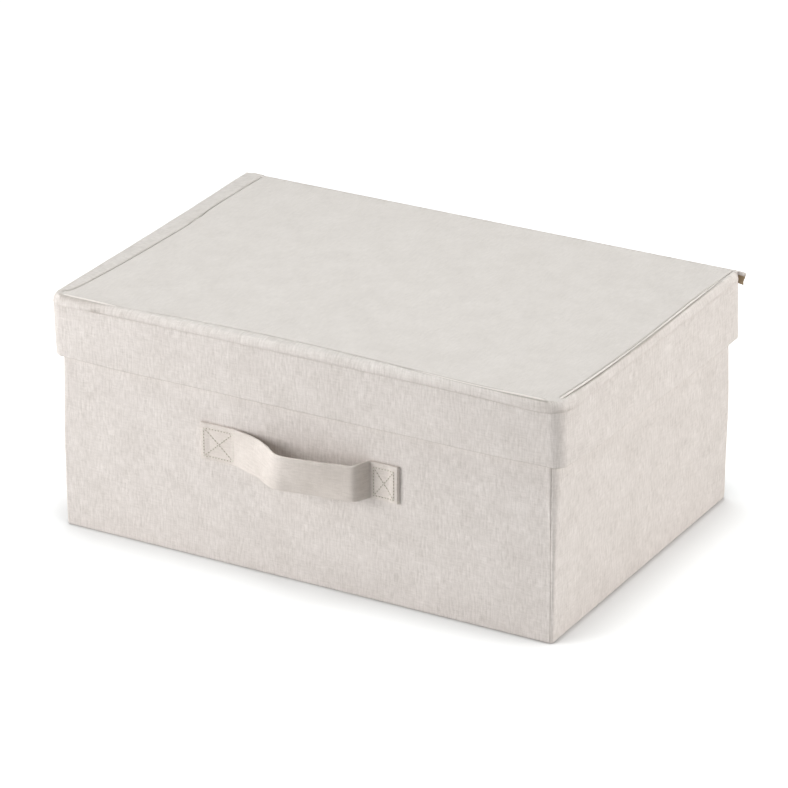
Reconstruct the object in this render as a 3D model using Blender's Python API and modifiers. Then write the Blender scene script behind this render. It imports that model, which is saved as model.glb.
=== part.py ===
"""Fabric storage box with a hinged lid: linen-look cloth over stiff board, with a sewn strap handle.

The origin is the middle of the underside. +X runs along the long side, -Y is the front with the handle,
and the lid hinges along the rear top edge. Lengths are in metres.
"""

import math

import bmesh
import bpy

MM = 0.001
QUARTER_TURN = math.pi / 2
HALF_TURN = math.pi

# Driving dimensions
BODY_WIDTH = 436 * MM
BODY_DEPTH = 300 * MM
WALL_HEIGHT = 194.5 * MM
SKIRT_DROP = 53 * MM

# Wall layers, the gap that keeps neighbours apart, and how far a board stops short of a corner's turned cloth
GAP = 0.3 * MM
COVER = 0.8 * MM
BOARD = 2.0 * MM
LINING = 0.6 * MM
RIM_BINDING = 0.8 * MM
BOARD_STOP = 3 * MM
SOFT_EDGE = 0.25 * MM
SOFT_EDGE_SHARE = 0.3

# Loose floor board
FLOOR_PLAY = 1.0 * MM
FLOOR_CORE = 2.0 * MM
FLOOR_CLOTH = 0.6 * MM
FLOOR_CORNER = 6 * MM
FLOOR_CORNER_STEPS = 4

# Lid panel, skirt and rolled edge
LID_REST = 0.3 * MM
LID_COVER = 0.8 * MM
LID_BOARD = 2.0 * MM
LID_LINING = 0.5 * MM
FRONT_PLAY = 0.7 * MM
SIDE_PLAY = 3.6 * MM
SKIRT_COVER = 0.8 * MM
SKIRT_BOARD = 1.5 * MM
SKIRT_LINING = 0.5 * MM
SKIRT_BOARD_STOP = 6 * MM
HEM = 0.8 * MM
ROLL_HEIGHT = 10 * MM
ROLL_INSET = 6 * MM
ROLL_RADIUS = 5 * MM
ROLL_STEPS = 6

# Hinge flap along the rear top edge, with the end that shows as an ear. The play lets it swing past level
FLAP_HEIGHT = 11 * MM
FLAP_PLAY = 0.5 * MM
FLAP_THICKNESS = 0.8 * MM
FLAP_LEFT_INSET = 4 * MM
FLAP_EAR = 5 * MM

# Strap handle: its drop below the skirt, places along the front wall from its middle, and standoffs from it
STRAP_WIDTH = 31 * MM
STRAP_THICKNESS = 2.2 * MM
SKIRT_TO_STRAP = 29.2 * MM
PATCH_LENGTH = 30 * MM
STRAP_LIFT = -62 * MM
STRAP_CREST = -10 * MM
STRAP_TURN = 52 * MM
STRAP_LAND = 54.5 * MM
CREST_STANDOFF = 23.5 * MM
TURN_STANDOFF = 14.5 * MM
LIFT_RADIUS = 25 * MM
CREST_RADIUS = 18 * MM
TURN_RADIUS = 4 * MM
LAND_RADIUS = 3 * MM
BEND_STEPS = 6
GRIP_LEAD = 14 * MM
GRIP_TAIL = 3 * MM

# Box-and-cross of thread on each sewn end
THREAD = 0.5 * MM
THREAD_WIDTH = 0.9 * MM
STITCH_MARGIN = 2.8 * MM

# Colours and roughness
LINEN = (0.76, 0.71, 0.67)
LINING_CLOTH = (0.78, 0.74, 0.70)
GREYBOARD = (0.46, 0.42, 0.37)
WEBBING = (0.72, 0.67, 0.62)
THREAD_COLOUR = (0.82, 0.78, 0.72)
CLOTH_ROUGHNESS = 0.95
BOARD_ROUGHNESS = 0.9
THREAD_ROUGHNESS = 0.8

# Ways of making shapes: the profile of a round bevel, and how near two points merge as a share of the gap
ROUND_PROFILE = 0.5
MERGE_SHARE = 0.01

# Sizes that follow from those above
WALL = COVER + GAP + BOARD + GAP + LINING
SKIRT = SKIRT_COVER + GAP + SKIRT_BOARD + GAP + SKIRT_LINING
LID_UNDERSIDE = WALL_HEIGHT + LID_REST
LID_TOP = LID_UNDERSIDE + LID_LINING + GAP + LID_BOARD + GAP + LID_COVER
SKIRT_BOTTOM = LID_TOP - SKIRT_DROP
ROLL_BOTTOM = LID_TOP - ROLL_HEIGHT
HALF_WIDTH = BODY_WIDTH / 2
HALF_DEPTH = BODY_DEPTH / 2
LID_SIDE = HALF_WIDTH + SIDE_PLAY + SKIRT
LID_FRONT = HALF_DEPTH + FRONT_PLAY + SKIRT
LID_REAR = HALF_DEPTH
HINGE_Y = LID_REAR + FLAP_PLAY
HINGE_Z = LID_TOP - FLAP_HEIGHT
STRAP_SEAT = HALF_DEPTH + GAP
STRAP_HEIGHT = SKIRT_BOTTOM - SKIRT_TO_STRAP - STRAP_WIDTH / 2


def clear_scene():
    for item in list(bpy.data.objects):
        bpy.data.objects.remove(item, do_unlink=True)


def new_collection(name):
    collection = bpy.data.collections.new(name)
    bpy.context.scene.collection.children.link(collection)
    return collection


def make_material(name, colour, roughness):
    material = bpy.data.materials.new(name)
    material.use_nodes = True
    shader = material.node_tree.nodes["Principled BSDF"]
    shader.inputs["Base Color"].default_value = (*colour, 1)
    shader.inputs["Roughness"].default_value = roughness
    shader.inputs["Metallic"].default_value = 0
    return material


def make_materials():
    return {
        "linen": make_material("linen", LINEN, CLOTH_ROUGHNESS),
        "lining": make_material("lining_cloth", LINING_CLOTH, CLOTH_ROUGHNESS),
        "board": make_material("greyboard", GREYBOARD, BOARD_ROUGHNESS),
        "webbing": make_material("webbing", WEBBING, CLOTH_ROUGHNESS),
        "thread": make_material("thread", THREAD_COLOUR, THREAD_ROUGHNESS),
    }


def add_joint_empty(name, location, collection, parent=None):
    """An empty on a joint's axis, which the moving pieces hang on."""
    empty = bpy.data.objects.new(name, None)
    collection.objects.link(empty)
    place(empty, location, parent)
    return empty


def place(obj, location, parent=None):
    """Parents the object and puts it at a place given in the box's own frame."""
    start = (0, 0, 0)
    if parent:
        obj.parent = parent
        start = parent.matrix_world.translation
    obj.location = [to - origin for to, origin in zip(location, start)]
    bpy.context.view_layer.update()


def sheet(name, low, high, material, collection, parent=None, corner=0):
    """A flat sheet or board between two corners, with softened edges and, if asked, rounded upright corners."""
    size = [top - bottom for bottom, top in zip(low, high)]
    middle = [(bottom + top) / 2 for bottom, top in zip(low, high)]
    cage = bmesh.new()
    bmesh.ops.create_cube(cage, size=1)
    bmesh.ops.scale(cage, vec=size, verts=cage.verts)
    if corner:
        upright = [edge for edge in cage.edges if edge.verts[0].co.xy == edge.verts[1].co.xy]
        bmesh.ops.bevel(
            cage,
            geom=upright,
            offset=corner,
            segments=FLOOR_CORNER_STEPS,
            profile=ROUND_PROFILE,
            affect="EDGES",
        )
    mesh = bpy.data.meshes.new(name)
    cage.to_mesh(mesh)
    cage.free()
    mesh.materials.append(material)
    obj = bpy.data.objects.new(name, mesh)
    collection.objects.link(obj)
    place(obj, middle, parent)
    bevel = obj.modifiers.new("soft_edge", "BEVEL")
    bevel.width = min(SOFT_EDGE, min(size) * SOFT_EDGE_SHARE)
    bevel.segments = 1
    return obj


def extruded(name, outlines, length, material, collection):
    """Flat outlines in X and Y, the later ones holes in the first, given a thickness along Z."""
    curve = bpy.data.curves.new(name, "CURVE")
    curve.dimensions = "2D"
    curve.fill_mode = "BOTH"
    curve.extrude = length / 2
    for outline in outlines:
        spline = curve.splines.new("POLY")
        spline.points.add(len(outline) - 1)
        for point, (x, y) in zip(spline.points, outline):
            point.co = (x, y, 0, 1)
        spline.use_cyclic_u = True
    guide = bpy.data.objects.new(name + "_outline", curve)
    collection.objects.link(guide)
    graph = bpy.context.evaluated_depsgraph_get()
    mesh = bpy.data.meshes.new_from_object(guide.evaluated_get(graph))
    bpy.data.objects.remove(guide)
    cage = bmesh.new()
    cage.from_mesh(mesh)
    bmesh.ops.remove_doubles(cage, verts=cage.verts, dist=GAP * MERGE_SHARE)
    bmesh.ops.recalc_face_normals(cage, faces=cage.faces)
    cage.to_mesh(mesh)
    cage.free()
    mesh.materials.clear()
    mesh.materials.append(material)
    obj = bpy.data.objects.new(name, mesh)
    collection.objects.link(obj)
    return obj


def rounded_line(corners, steps):
    """A line through (place, radius) corners with arcs in the bends: each point with its left-hand normal."""
    places = [corner for corner, _ in corners]
    runs = []
    for (x0, y0), (x1, y1) in zip(places, places[1:]):
        length = math.hypot(x1 - x0, y1 - y0)
        runs.append(((x1 - x0) / length, (y1 - y0) / length))
    line = [(places[0], (-runs[0][1], runs[0][0]))]
    for (corner, radius), before, after in zip(corners[1:-1], runs, runs[1:]):
        turn = math.atan2(
            before[0] * after[1] - before[1] * after[0], before[0] * after[0] + before[1] * after[1]
        )
        back = radius * math.tan(abs(turn) / 2)
        side = math.copysign(radius, turn)
        normal = (-before[1], before[0])
        centre = (
            corner[0] - before[0] * back + normal[0] * side,
            corner[1] - before[1] * back + normal[1] * side,
        )
        for step in range(steps + 1):
            angle = turn * step / steps
            cos, sin = math.cos(angle), math.sin(angle)
            turned = (normal[0] * cos - normal[1] * sin, normal[0] * sin + normal[1] * cos)
            line.append(((centre[0] - turned[0] * side, centre[1] - turned[1] * side), turned))
    line.append((places[-1], (-runs[-1][1], runs[-1][0])))
    return line


def stretch(line, start, end):
    """The part of a line between two places along X, cut square across."""
    kept = []
    for (x0, y0), (x1, y1) in zip(line, line[1:]):
        for cut in (start, end):
            if x0 < cut < x1:
                kept.append((cut, y0 + (y1 - y0) * (cut - x0) / (x1 - x0)))
        if start < x1 < end:
            kept.append((x1, y1))
    if start < line[0][0]:
        kept.insert(0, line[0])
    return sorted(kept)


def around(side, half_run, half_across, near, far, bottom, top):
    """The corners of a layer of one wall, between two depths inside the wall's outer face."""
    if side in ("front", "back"):
        low, high = (-half_run, half_across - far, bottom), (half_run, half_across - near, top)
        if side == "front":
            low, high = (low[0], near - half_across, bottom), (high[0], far - half_across, top)
    else:
        low, high = (half_across - far, -half_run, bottom), (half_across - near, half_run, top)
        if side == "left":
            low, high = (near - half_across, low[1], bottom), (far - half_across, high[1], top)
    return low, high


def build_base(materials, collection):
    """The outer base cloth between the wall covers, and the lining inside the boards."""
    x, y = HALF_WIDTH - COVER - GAP, HALF_DEPTH - COVER - GAP
    sheet("base_cover", (-x, -y, 0), (x, y, COVER), materials["linen"], collection)
    inset = COVER + GAP + BOARD + GAP
    x, y = HALF_WIDTH - inset, HALF_DEPTH - inset
    bottom = COVER + GAP
    sheet("base_lining", (-x, -y, bottom), (x, y, bottom + LINING), materials["lining"], collection)


def build_walls(materials, collection):
    """Each wall is a cover, a board and a lining under a rim binding; left and right fit between the others."""
    top = WALL_HEIGHT - RIM_BINDING - GAP
    board_bottom = COVER + GAP
    board_depth = COVER + GAP
    lining_depth = board_depth + BOARD + GAP
    layers = (
        ("cover", 0, COVER, 0, 0, top, "linen"),
        ("board", board_depth, BOARD, BOARD_STOP, board_bottom, top, "board"),
        ("lining", lining_depth, LINING, 0, board_bottom + LINING + GAP, top, "lining"),
        ("rim_binding", 0, WALL, 0, WALL_HEIGHT - RIM_BINDING, WALL_HEIGHT, "linen"),
    )
    for kind, near, thickness, stop, bottom, upper, finish in layers:
        far = near + thickness
        for side in ("front", "back", "left", "right"):
            if side in ("front", "back"):
                half_run, half_across = HALF_WIDTH - near - stop, HALF_DEPTH
            else:
                half_run, half_across = HALF_DEPTH - far - GAP - stop, HALF_WIDTH
            corners = around(side, half_run, half_across, near, far, bottom, upper)
            sheet(f"{side}_{kind}", *corners, materials[finish], collection)


def build_floor_board(materials, collection):
    """The loose board that squares the box: a core with cloth above and below. It lifts straight up."""
    x = HALF_WIDTH - WALL - FLOOR_PLAY
    y = HALF_DEPTH - WALL - FLOOR_PLAY
    bottom = COVER + GAP + LINING + GAP
    lift = add_joint_empty("floor_board_lift", (0, 0, bottom), collection)
    for name, thickness, finish in (
        ("floor_board_underside", FLOOR_CLOTH, "lining"),
        ("floor_board_core", FLOOR_CORE, "board"),
        ("floor_board_top", FLOOR_CLOTH, "lining"),
    ):
        low, high = (-x, -y, bottom), (x, y, bottom + thickness)
        sheet(name, low, high, materials[finish], collection, lift, FLOOR_CORNER)
        bottom += thickness + GAP


def strap_line():
    """The strap's inner face seen from above: place along the wall, and standoff from its seat."""
    return rounded_line(
        (
            ((STRAP_LIFT - PATCH_LENGTH, 0), 0),
            ((STRAP_LIFT, 0), LIFT_RADIUS),
            ((STRAP_CREST, CREST_STANDOFF), CREST_RADIUS),
            ((STRAP_TURN, TURN_STANDOFF), TURN_RADIUS),
            ((STRAP_LAND, 0), LAND_RADIUS),
            ((STRAP_LAND + PATCH_LENGTH, 0), 0),
        ),
        BEND_STEPS,
    )


def build_strap(materials, collection):
    """The strap in three nodes, cut square across: two sewn ends, and the grip that swings between them."""
    line = strap_line()
    inner = [point for point, _ in line]
    outer = [(x + nx * STRAP_THICKNESS, y + ny * STRAP_THICKNESS) for (x, y), (nx, ny) in line]
    swing = add_joint_empty("handle_swing", (0, -STRAP_SEAT, STRAP_HEIGHT), collection)
    grip_left, grip_right = STRAP_CREST - GRIP_LEAD, STRAP_TURN - GRIP_TAIL
    beyond = PATCH_LENGTH + STRAP_LAND - STRAP_LIFT
    for name, start, end, parent in (
        ("handle_left_end", -beyond, grip_left, None),
        ("handle_grip", grip_left + GAP, grip_right, swing),
        ("handle_right_end", grip_right + GAP, beyond, None),
    ):
        outline = stretch(inner, start, end) + stretch(outer, start, end)[::-1]
        outline = [(x, -y) for x, y in outline]
        obj = extruded(name, [outline], STRAP_WIDTH, materials["webbing"], collection)
        place(obj, (0, -STRAP_SEAT, STRAP_HEIGHT), parent)


def box_and_cross(width, height, thread):
    """Outlines of a stitched rectangle with both diagonals: the outside, and the four triangles left open."""
    right, top = width / 2, height / 2
    inner_right, inner_top = right - thread, top - thread
    slope = math.atan2(inner_top, inner_right)
    along, up = thread / 2 / math.sin(slope), thread / 2 / math.cos(slope)
    outlines = [[(-right, -top), (right, -top), (right, top), (-right, top)]]
    for sign in (1, -1):
        x, y = sign * inner_right, sign * inner_top
        outlines.append([(x - sign * along, y), (sign * along - x, y), (0, sign * up)])
        outlines.append([(x, y - sign * up), (x, sign * up - y), (sign * along, 0)])
    return outlines


def build_stitching(materials, collection):
    """A box and cross of thread on the face of each sewn end of the strap."""
    width, height = PATCH_LENGTH - 2 * STITCH_MARGIN, STRAP_WIDTH - 2 * STITCH_MARGIN
    face = STRAP_SEAT + STRAP_THICKNESS + GAP + THREAD / 2
    clear_of_bend = LAND_RADIUS
    for name, middle, shown in (
        ("handle_left_stitching", STRAP_LIFT - PATCH_LENGTH / 2, width),
        ("handle_right_stitching", STRAP_LAND + (PATCH_LENGTH + clear_of_bend) / 2, width - clear_of_bend),
    ):
        figure = box_and_cross(shown, height, THREAD_WIDTH)
        obj = extruded(name, figure, THREAD, materials["thread"], collection)
        obj.rotation_euler = (QUARTER_TURN, 0, 0)
        place(obj, (middle, -face, STRAP_HEIGHT))


def build_lid_panel(materials, collection, hinge):
    """The lid's flat top between the rolled edges: lining below, then board, then linen."""
    x, front = LID_SIDE - ROLL_INSET - GAP, LID_FRONT - ROLL_INSET - GAP
    bottom = LID_UNDERSIDE
    for name, thickness, finish in (
        ("lid_lining", LID_LINING, "lining"),
        ("lid_board", LID_BOARD, "board"),
        ("lid_cover", LID_COVER, "linen"),
    ):
        low, high = (-x, -front, bottom), (x, LID_REAR, bottom + thickness)
        sheet(name, low, high, materials[finish], collection, hinge)
        bottom += thickness + GAP


def build_skirt(materials, collection, hinge):
    """The skirt on the front, left and right: cover, board and lining over a hem. The sides butt the front."""
    top = ROLL_BOTTOM - GAP
    bottom = SKIRT_BOTTOM + HEM + GAP
    board_depth = SKIRT_COVER + GAP
    lining_depth = board_depth + SKIRT_BOARD + GAP
    layers = (
        ("cover", 0, SKIRT_COVER, 0, bottom, top, "linen"),
        ("board", board_depth, SKIRT_BOARD, SKIRT_BOARD_STOP, bottom, top, "board"),
        ("lining", lining_depth, SKIRT_LINING, 0, bottom, top, "lining"),
        ("hem", 0, SKIRT, 0, SKIRT_BOTTOM, SKIRT_BOTTOM + HEM, "linen"),
    )
    for kind, near, thickness, stop, lower, upper, finish in layers:
        far = near + thickness
        material = materials[finish]
        low, high = around("front", LID_SIDE - near - stop, LID_FRONT, near, far, lower, upper)
        sheet(f"skirt_front_{kind}", low, high, material, collection, hinge)
        for side in ("left", "right"):
            low, high = around(side, LID_REAR, LID_SIDE, near, far, lower, upper)
            low = (low[0], far + GAP + stop - LID_FRONT, lower)
            sheet(f"skirt_{side}_{kind}", low, high, material, collection, hinge)


def rolled_section():
    """The rolled edge cut across: outer face at zero, a round top corner, and an arm over the wall's rim."""
    height = LID_TOP - ROLL_BOTTOM
    arm = LID_UNDERSIDE - ROLL_BOTTOM
    outline = [(-ROLL_INSET, arm), (-SKIRT, arm), (-SKIRT, 0), (0, 0)]
    for step in range(ROLL_STEPS + 1):
        angle = QUARTER_TURN * step / ROLL_STEPS
        x = ROLL_RADIUS * (math.cos(angle) - 1)
        y = height + ROLL_RADIUS * (math.sin(angle) - 1)
        outline.append((x, y))
    outline.append((-ROLL_INSET, height))
    return outline


def build_rolled_edges(materials, collection, hinge):
    """The rolled edge along the front and both sides, mitred where the sides meet the front."""
    side_middle = (LID_REAR - LID_FRONT) / 2
    side_run = LID_REAR + LID_FRONT
    mitre_gap = GAP / 2
    for name, run, turn, middle, mitred in (
        ("rolled_edge_front", 2 * LID_SIDE, -QUARTER_TURN, (0, -LID_FRONT, ROLL_BOTTOM), (-1, 1)),
        ("rolled_edge_left", side_run, HALF_TURN, (-LID_SIDE, side_middle, ROLL_BOTTOM), (-1,)),
        ("rolled_edge_right", side_run, 0, (LID_SIDE, side_middle, ROLL_BOTTOM), (1,)),
    ):
        obj = extruded(name, [rolled_section()], run, materials["linen"], collection)
        for vert in obj.data.vertices:
            for end in mitred:
                if vert.co.z * end > 0:
                    vert.co.z += end * (vert.co.x - mitre_gap)
        obj.rotation_euler = (QUARTER_TURN, 0, turn)
        place(obj, middle, hinge)


def build_flap(materials, collection, hinge):
    """The strip of cloth between the back wall and the lid. Its right end stands out as an ear."""
    low = (FLAP_LEFT_INSET - LID_SIDE, HINGE_Y, HINGE_Z)
    high = (LID_SIDE + FLAP_EAR, HINGE_Y + FLAP_THICKNESS, LID_TOP)
    sheet("hinge_flap", low, high, materials["linen"], collection, hinge)


def main():
    clear_scene()
    materials = make_materials()
    collection = new_collection("fabric_storage_box")
    build_base(materials, collection)
    build_walls(materials, collection)
    build_floor_board(materials, collection)
    build_strap(materials, collection)
    build_stitching(materials, collection)
    lower_hinge = add_joint_empty("flap_hinge", (0, HINGE_Y, HINGE_Z), collection)
    upper_hinge = add_joint_empty("lid_hinge", (0, HINGE_Y, LID_TOP), collection, lower_hinge)
    build_flap(materials, collection, lower_hinge)
    build_lid_panel(materials, collection, upper_hinge)
    build_skirt(materials, collection, upper_hinge)
    build_rolled_edges(materials, collection, upper_hinge)


main()
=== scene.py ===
"""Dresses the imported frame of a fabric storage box: cloth over its boards, seams, strap, lining and light.

Lengths are in metres in the frame's own axes: +X along the long side, -Y the front with the strap, +Z up.
"""

import math

import bmesh
import bpy
from bpy.props import FloatProperty, FloatVectorProperty, PointerProperty
from mathutils import Matrix, Vector, noise


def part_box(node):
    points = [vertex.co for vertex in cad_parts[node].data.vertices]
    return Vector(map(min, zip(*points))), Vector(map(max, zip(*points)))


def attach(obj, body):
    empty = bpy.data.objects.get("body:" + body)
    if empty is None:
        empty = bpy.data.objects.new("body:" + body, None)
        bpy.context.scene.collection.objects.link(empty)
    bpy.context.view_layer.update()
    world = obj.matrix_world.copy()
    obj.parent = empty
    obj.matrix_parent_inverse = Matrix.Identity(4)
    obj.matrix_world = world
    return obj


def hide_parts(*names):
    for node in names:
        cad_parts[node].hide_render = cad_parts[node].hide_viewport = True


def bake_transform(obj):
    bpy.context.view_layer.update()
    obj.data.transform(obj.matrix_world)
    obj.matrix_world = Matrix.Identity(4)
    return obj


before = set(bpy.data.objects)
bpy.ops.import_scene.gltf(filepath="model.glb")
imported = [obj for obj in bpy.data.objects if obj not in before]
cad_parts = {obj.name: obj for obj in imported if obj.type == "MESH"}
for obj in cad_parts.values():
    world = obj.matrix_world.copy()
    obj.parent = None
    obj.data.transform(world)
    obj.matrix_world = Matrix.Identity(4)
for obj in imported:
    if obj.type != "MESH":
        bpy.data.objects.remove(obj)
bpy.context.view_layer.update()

bl_info = {
    "name": "Fabric storage box",
    "version": (1, 0, 0),
    "blender": (4, 5, 0),
    "location": "3D View > Sidebar > Storage Box",
    "description": "Dresses the frame of a fabric storage box with cloth, seams, strap and lining",
    "category": "Object",
}

MM = 0.001
QUARTER = math.pi / 2
UV_NAME = "cloth"
# Name of the attribute that paints shade into the cloth's colour: in seams, creases, the hem's fold and on the
# strap
PAINTED_SHADE_NAME = "tuck"
SMOOTH_ANGLE = math.radians(42)
FOLD_CLOTH = 0.45 * MM
BINDING_CLOTH = 0.33 * MM
LID_LINING_CLOTH = 0.4 * MM
TURNED_EDGE = 0.45 * MM

# Distance of the rolled edge's pucker from the front left corner
PUCKER = 43 * MM

# The lamps: azimuth (0 in front, 90 at the right), elevation, distance, size and tone
KEY_LAMP = (-42, 11.1, 2.3, 1.45, (1.0, 1.0, 1.0))
SIDE_LAMP = (104, 14, 2.8, 1.5, (1.0, 0.985, 0.965))
TOP_LAMP = (0, 90, 1.8, 0.9, (0.95, 1.01, 1.01))

# Which way the camera is turned: its right-hand side, and the way back from what it looks at
CAMERA_RIGHT = (0.86959, 0.49376, -0.00316)
CAMERA_BACK = (0.45366, -0.79642, 0.39987)

# Places in the frame
BODY_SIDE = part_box("right_cover")[1].x
BODY_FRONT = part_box("front_cover")[0].y
BODY_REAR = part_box("back_cover")[1].y
COVER_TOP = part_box("front_cover")[1].z
RIM_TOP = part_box("front_rim_binding")[1].z
WALL = BODY_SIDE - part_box("right_lining")[0].x
INNER_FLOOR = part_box("base_lining")[1].z
BOARD_LOW, BOARD_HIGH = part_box("floor_board_underside")[0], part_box("floor_board_top")[1]
CORE_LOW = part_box("floor_board_core")[0].z
LID_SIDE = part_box("skirt_right_cover")[1].x
LID_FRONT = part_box("skirt_front_cover")[0].y
LID_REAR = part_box("lid_cover")[1].y
LID_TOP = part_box("lid_cover")[1].z
LID_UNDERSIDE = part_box("lid_lining")[0].z
LID_LINING_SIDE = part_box("lid_lining")[1].x
LID_LINING_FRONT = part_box("lid_lining")[0].y
SKIRT_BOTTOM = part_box("skirt_front_hem")[0].z
SKIRT = LID_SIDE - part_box("skirt_right_lining")[0].x
FLAP_LOW, FLAP_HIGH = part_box("hinge_flap")
STRAP_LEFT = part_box("handle_left_end")[0].x
STRAP_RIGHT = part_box("handle_right_end")[1].x
STRAP_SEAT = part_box("handle_left_end")[1].y
STRAP_LOW, STRAP_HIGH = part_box("handle_left_end")[0].z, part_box("handle_left_end")[1].z
STRAP_CREST = STRAP_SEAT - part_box("handle_grip")[0].y
STRAP_MIDDLE = (STRAP_LOW + STRAP_HIGH) / 2


def length(name, millimetres, description):
    size = millimetres * MM
    return FloatProperty(name=name, description=description, default=size, unit="LENGTH", subtype="DISTANCE")


def colour(name, default, description):
    return FloatVectorProperty(name=name, description=description, default=default, size=3, subtype="COLOR")


def share(name, default, description):
    return FloatProperty(name=name, description=description, default=default, subtype="FACTOR")


class BodySizes(bpy.types.PropertyGroup):
    cloth: length("Cloth", 0.6, "Thickness of the linen")
    low_corner: length("Corner at the base", 2.6, "Radius of the upright corners at the base")
    high_corner: length("Corner at the rim", 7.2, "Radius of the upright corners near the rim")
    edge: length("Base edge", 1.7, "Radius of the cloth where it turns under the base")
    base_turn: length("Turn under", 6, "How far the wall cloth runs under the base")
    seam_low: length("Seam at the base", 1.4, "Distance of the upright seams from the corner at the base")
    seam_high: length("Seam at the rim", 1.7, "Distance of the upright seams from the corner at the rim")
    seam_depth: length("Seam depth", 0.5, "How far the stitched seam draws in")
    bow_left: length("Bow at the left", 0.9, "How far the left wall's cloth bows out")
    bow_right: length("Bow at the right", 2.0, "How far the right wall's cloth bows out under the lid")
    swell: length("Swell", 0.35, "How far the cloth stands loose of the boards")


class RimSizes(bpy.types.PropertyGroup):
    proud: length("Proud", 0.35, "How far the binding stands proud of the wall cloth")
    drop: length("Drop", 9.5, "How far the binding hangs down each side of the wall")
    round: length("Round", 1.7, "Radius of the fold over the rim")
    stitch_line: length("Stitch line", 1.4, "Height of the row of stitches above the binding's edge")


class LiningSizes(bpy.types.PropertyGroup):
    cloth: length("Cloth", 0.5, "Thickness of the lining")
    corner: length("Corner", 4, "Radius of the lining's upright corners")
    turn: length("Turn", 1.1, "Radius between the walls and the floor")
    tuck: length("Tuck", 2.2, "How far the lining runs up under the rim binding")
    swell: length("Swell", 0.5, "How far the lining stands loose of the boards")


class FloorBoardSizes(bpy.types.PropertyGroup):
    cloth: length("Cloth", 0.4, "Thickness of the cloth round the board")
    wrap: length("Wrap", 0.55, "How far the cloth stands outside the board's edge")
    edge: length("Edge", 1.6, "Radius of the cloth over the board's edge")
    turn_under: length("Turn under", 14, "How far the top cloth is turned under the board")


class LidSizes(bpy.types.PropertyGroup):
    cloth: length("Cloth", 0.6, "Thickness of the linen")
    corner: length("Corner", 10, "Radius of the lid's front corners")
    rear_corner: length("Rear corner", 3.2, "Radius of the lid's rear corners")
    rear_return: length("Rear return", 3.8, "How far the cloth turns round the rear corners")
    rear_stand: length("Rear stand", 0.5, "How far that turned cloth stands behind the lid's boards")
    edge: length("Edge", 4.6, "How far in the lid's rounded top edge reaches")
    proud: length("Proud", 0.3, "How far the rolled edge stands proud of the skirt")
    crease: length("Crease", 7.3, "Depth of the crease under the rolled edge, below the lid's top")
    crease_round: length("Crease round", 0.35, "Depth of the crease on the front")
    # Painted shade along the skirt's lower fold, where the hem casts its shadow
    hem_shade: FloatProperty(name="Hem shade", description="How dark the skirt's lower fold is", default=0.8)
    hem: length("Hem", 10.5, "How far the skirt's cloth is turned up inside")
    lean: length("Lean", 1.0, "How far the left skirt leans in at its lower edge")
    flare: length("Flare", 1.6, "How far the right skirt stands out at its lower edge")
    bulge: length("Bulge", 8, "How far the left side bows out at the rear")
    sag: length("Sag", 4.2, "How far the right skirt hangs down towards the rear")
    lift: length("Lift", 0.9, "How far the skirt's lower edge rises at the front corners")
    swell: length("Swell", 0.4, "Unevenness of the lid's cloth")


class SeamSizes(bpy.types.PropertyGroup):
    closed: length("Closed", 0.26, "Half the width of the seam where the piping is hidden")
    open: length("Open", 1.25, "Half the width of the seam where the piping shows")
    depth: length("Depth", 0.9, "How far the cloth dips into the seam")
    shoulder: length("Shoulder", 0.8, "Radius with which the cloth dips into the seam")
    piping: length("Piping", 1.1, "Radius of the piping where it shows")


class HingeSizes(bpy.types.PropertyGroup):
    cloth: length("Cloth", 0.6, "Thickness of the hinge cloth")
    half_width: length("Half width", 217, "Half the width of the strip on the back wall")
    hem_drop: length("Hem drop", 10.5, "How far the strip hangs down the back wall under the hinge")
    lap: length("Lap", 4.6, "Height of the lap of the upper strip over the lower one, above the lower hinge")
    edge: length("Edge", 1.9, "Radius of the cloth over the lid's rear edge")
    flat: length("Flat", 3.2, "How far the strip runs onto the lid")
    ear_wave: length("Ear wave", 0.8, "Unevenness of the ear's cut end")
    ear_round: length("Ear round", 1.1, "Radius of the ear's fold")
    ear_lip: length("Ear lip", 1.8, "How far the ear's fold hangs down in front")


class StrapSizes(bpy.types.PropertyGroup):
    thickness: length("Thickness", 2.1, "Thickness of the doubled cloth")
    patch: length("Patch", 30, "Length of each sewn end")
    end: length("End", 0.7, "How much thicker the turned-in ends are")
    droop: length("Droop", 1.2, "How far the strap's middle hangs below its ends")
    twist: length("Twist", 4.2, "How far the strap's lower edge turns in along the grip")
    margin: length("Margin", 3.8, "Distance of the stitches from the edges of the sewn ends")
    shift: length("Shift", 2.4, "How far to the right of its board the strap is sewn on")
    lift: length("Lift", 1.5, "How far above the middle of its board the strap is sewn on")


class StitchSizes(bpy.types.PropertyGroup):
    long: length("Length", 2.0, "Length of a stitch")
    pitch: length("Pitch", 2.7, "Distance between stitches")
    thick: length("Thickness", 0.8, "Thickness of the thread")
    hole: length("Hole", 0.45, "Radius of the needle's holes")


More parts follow.
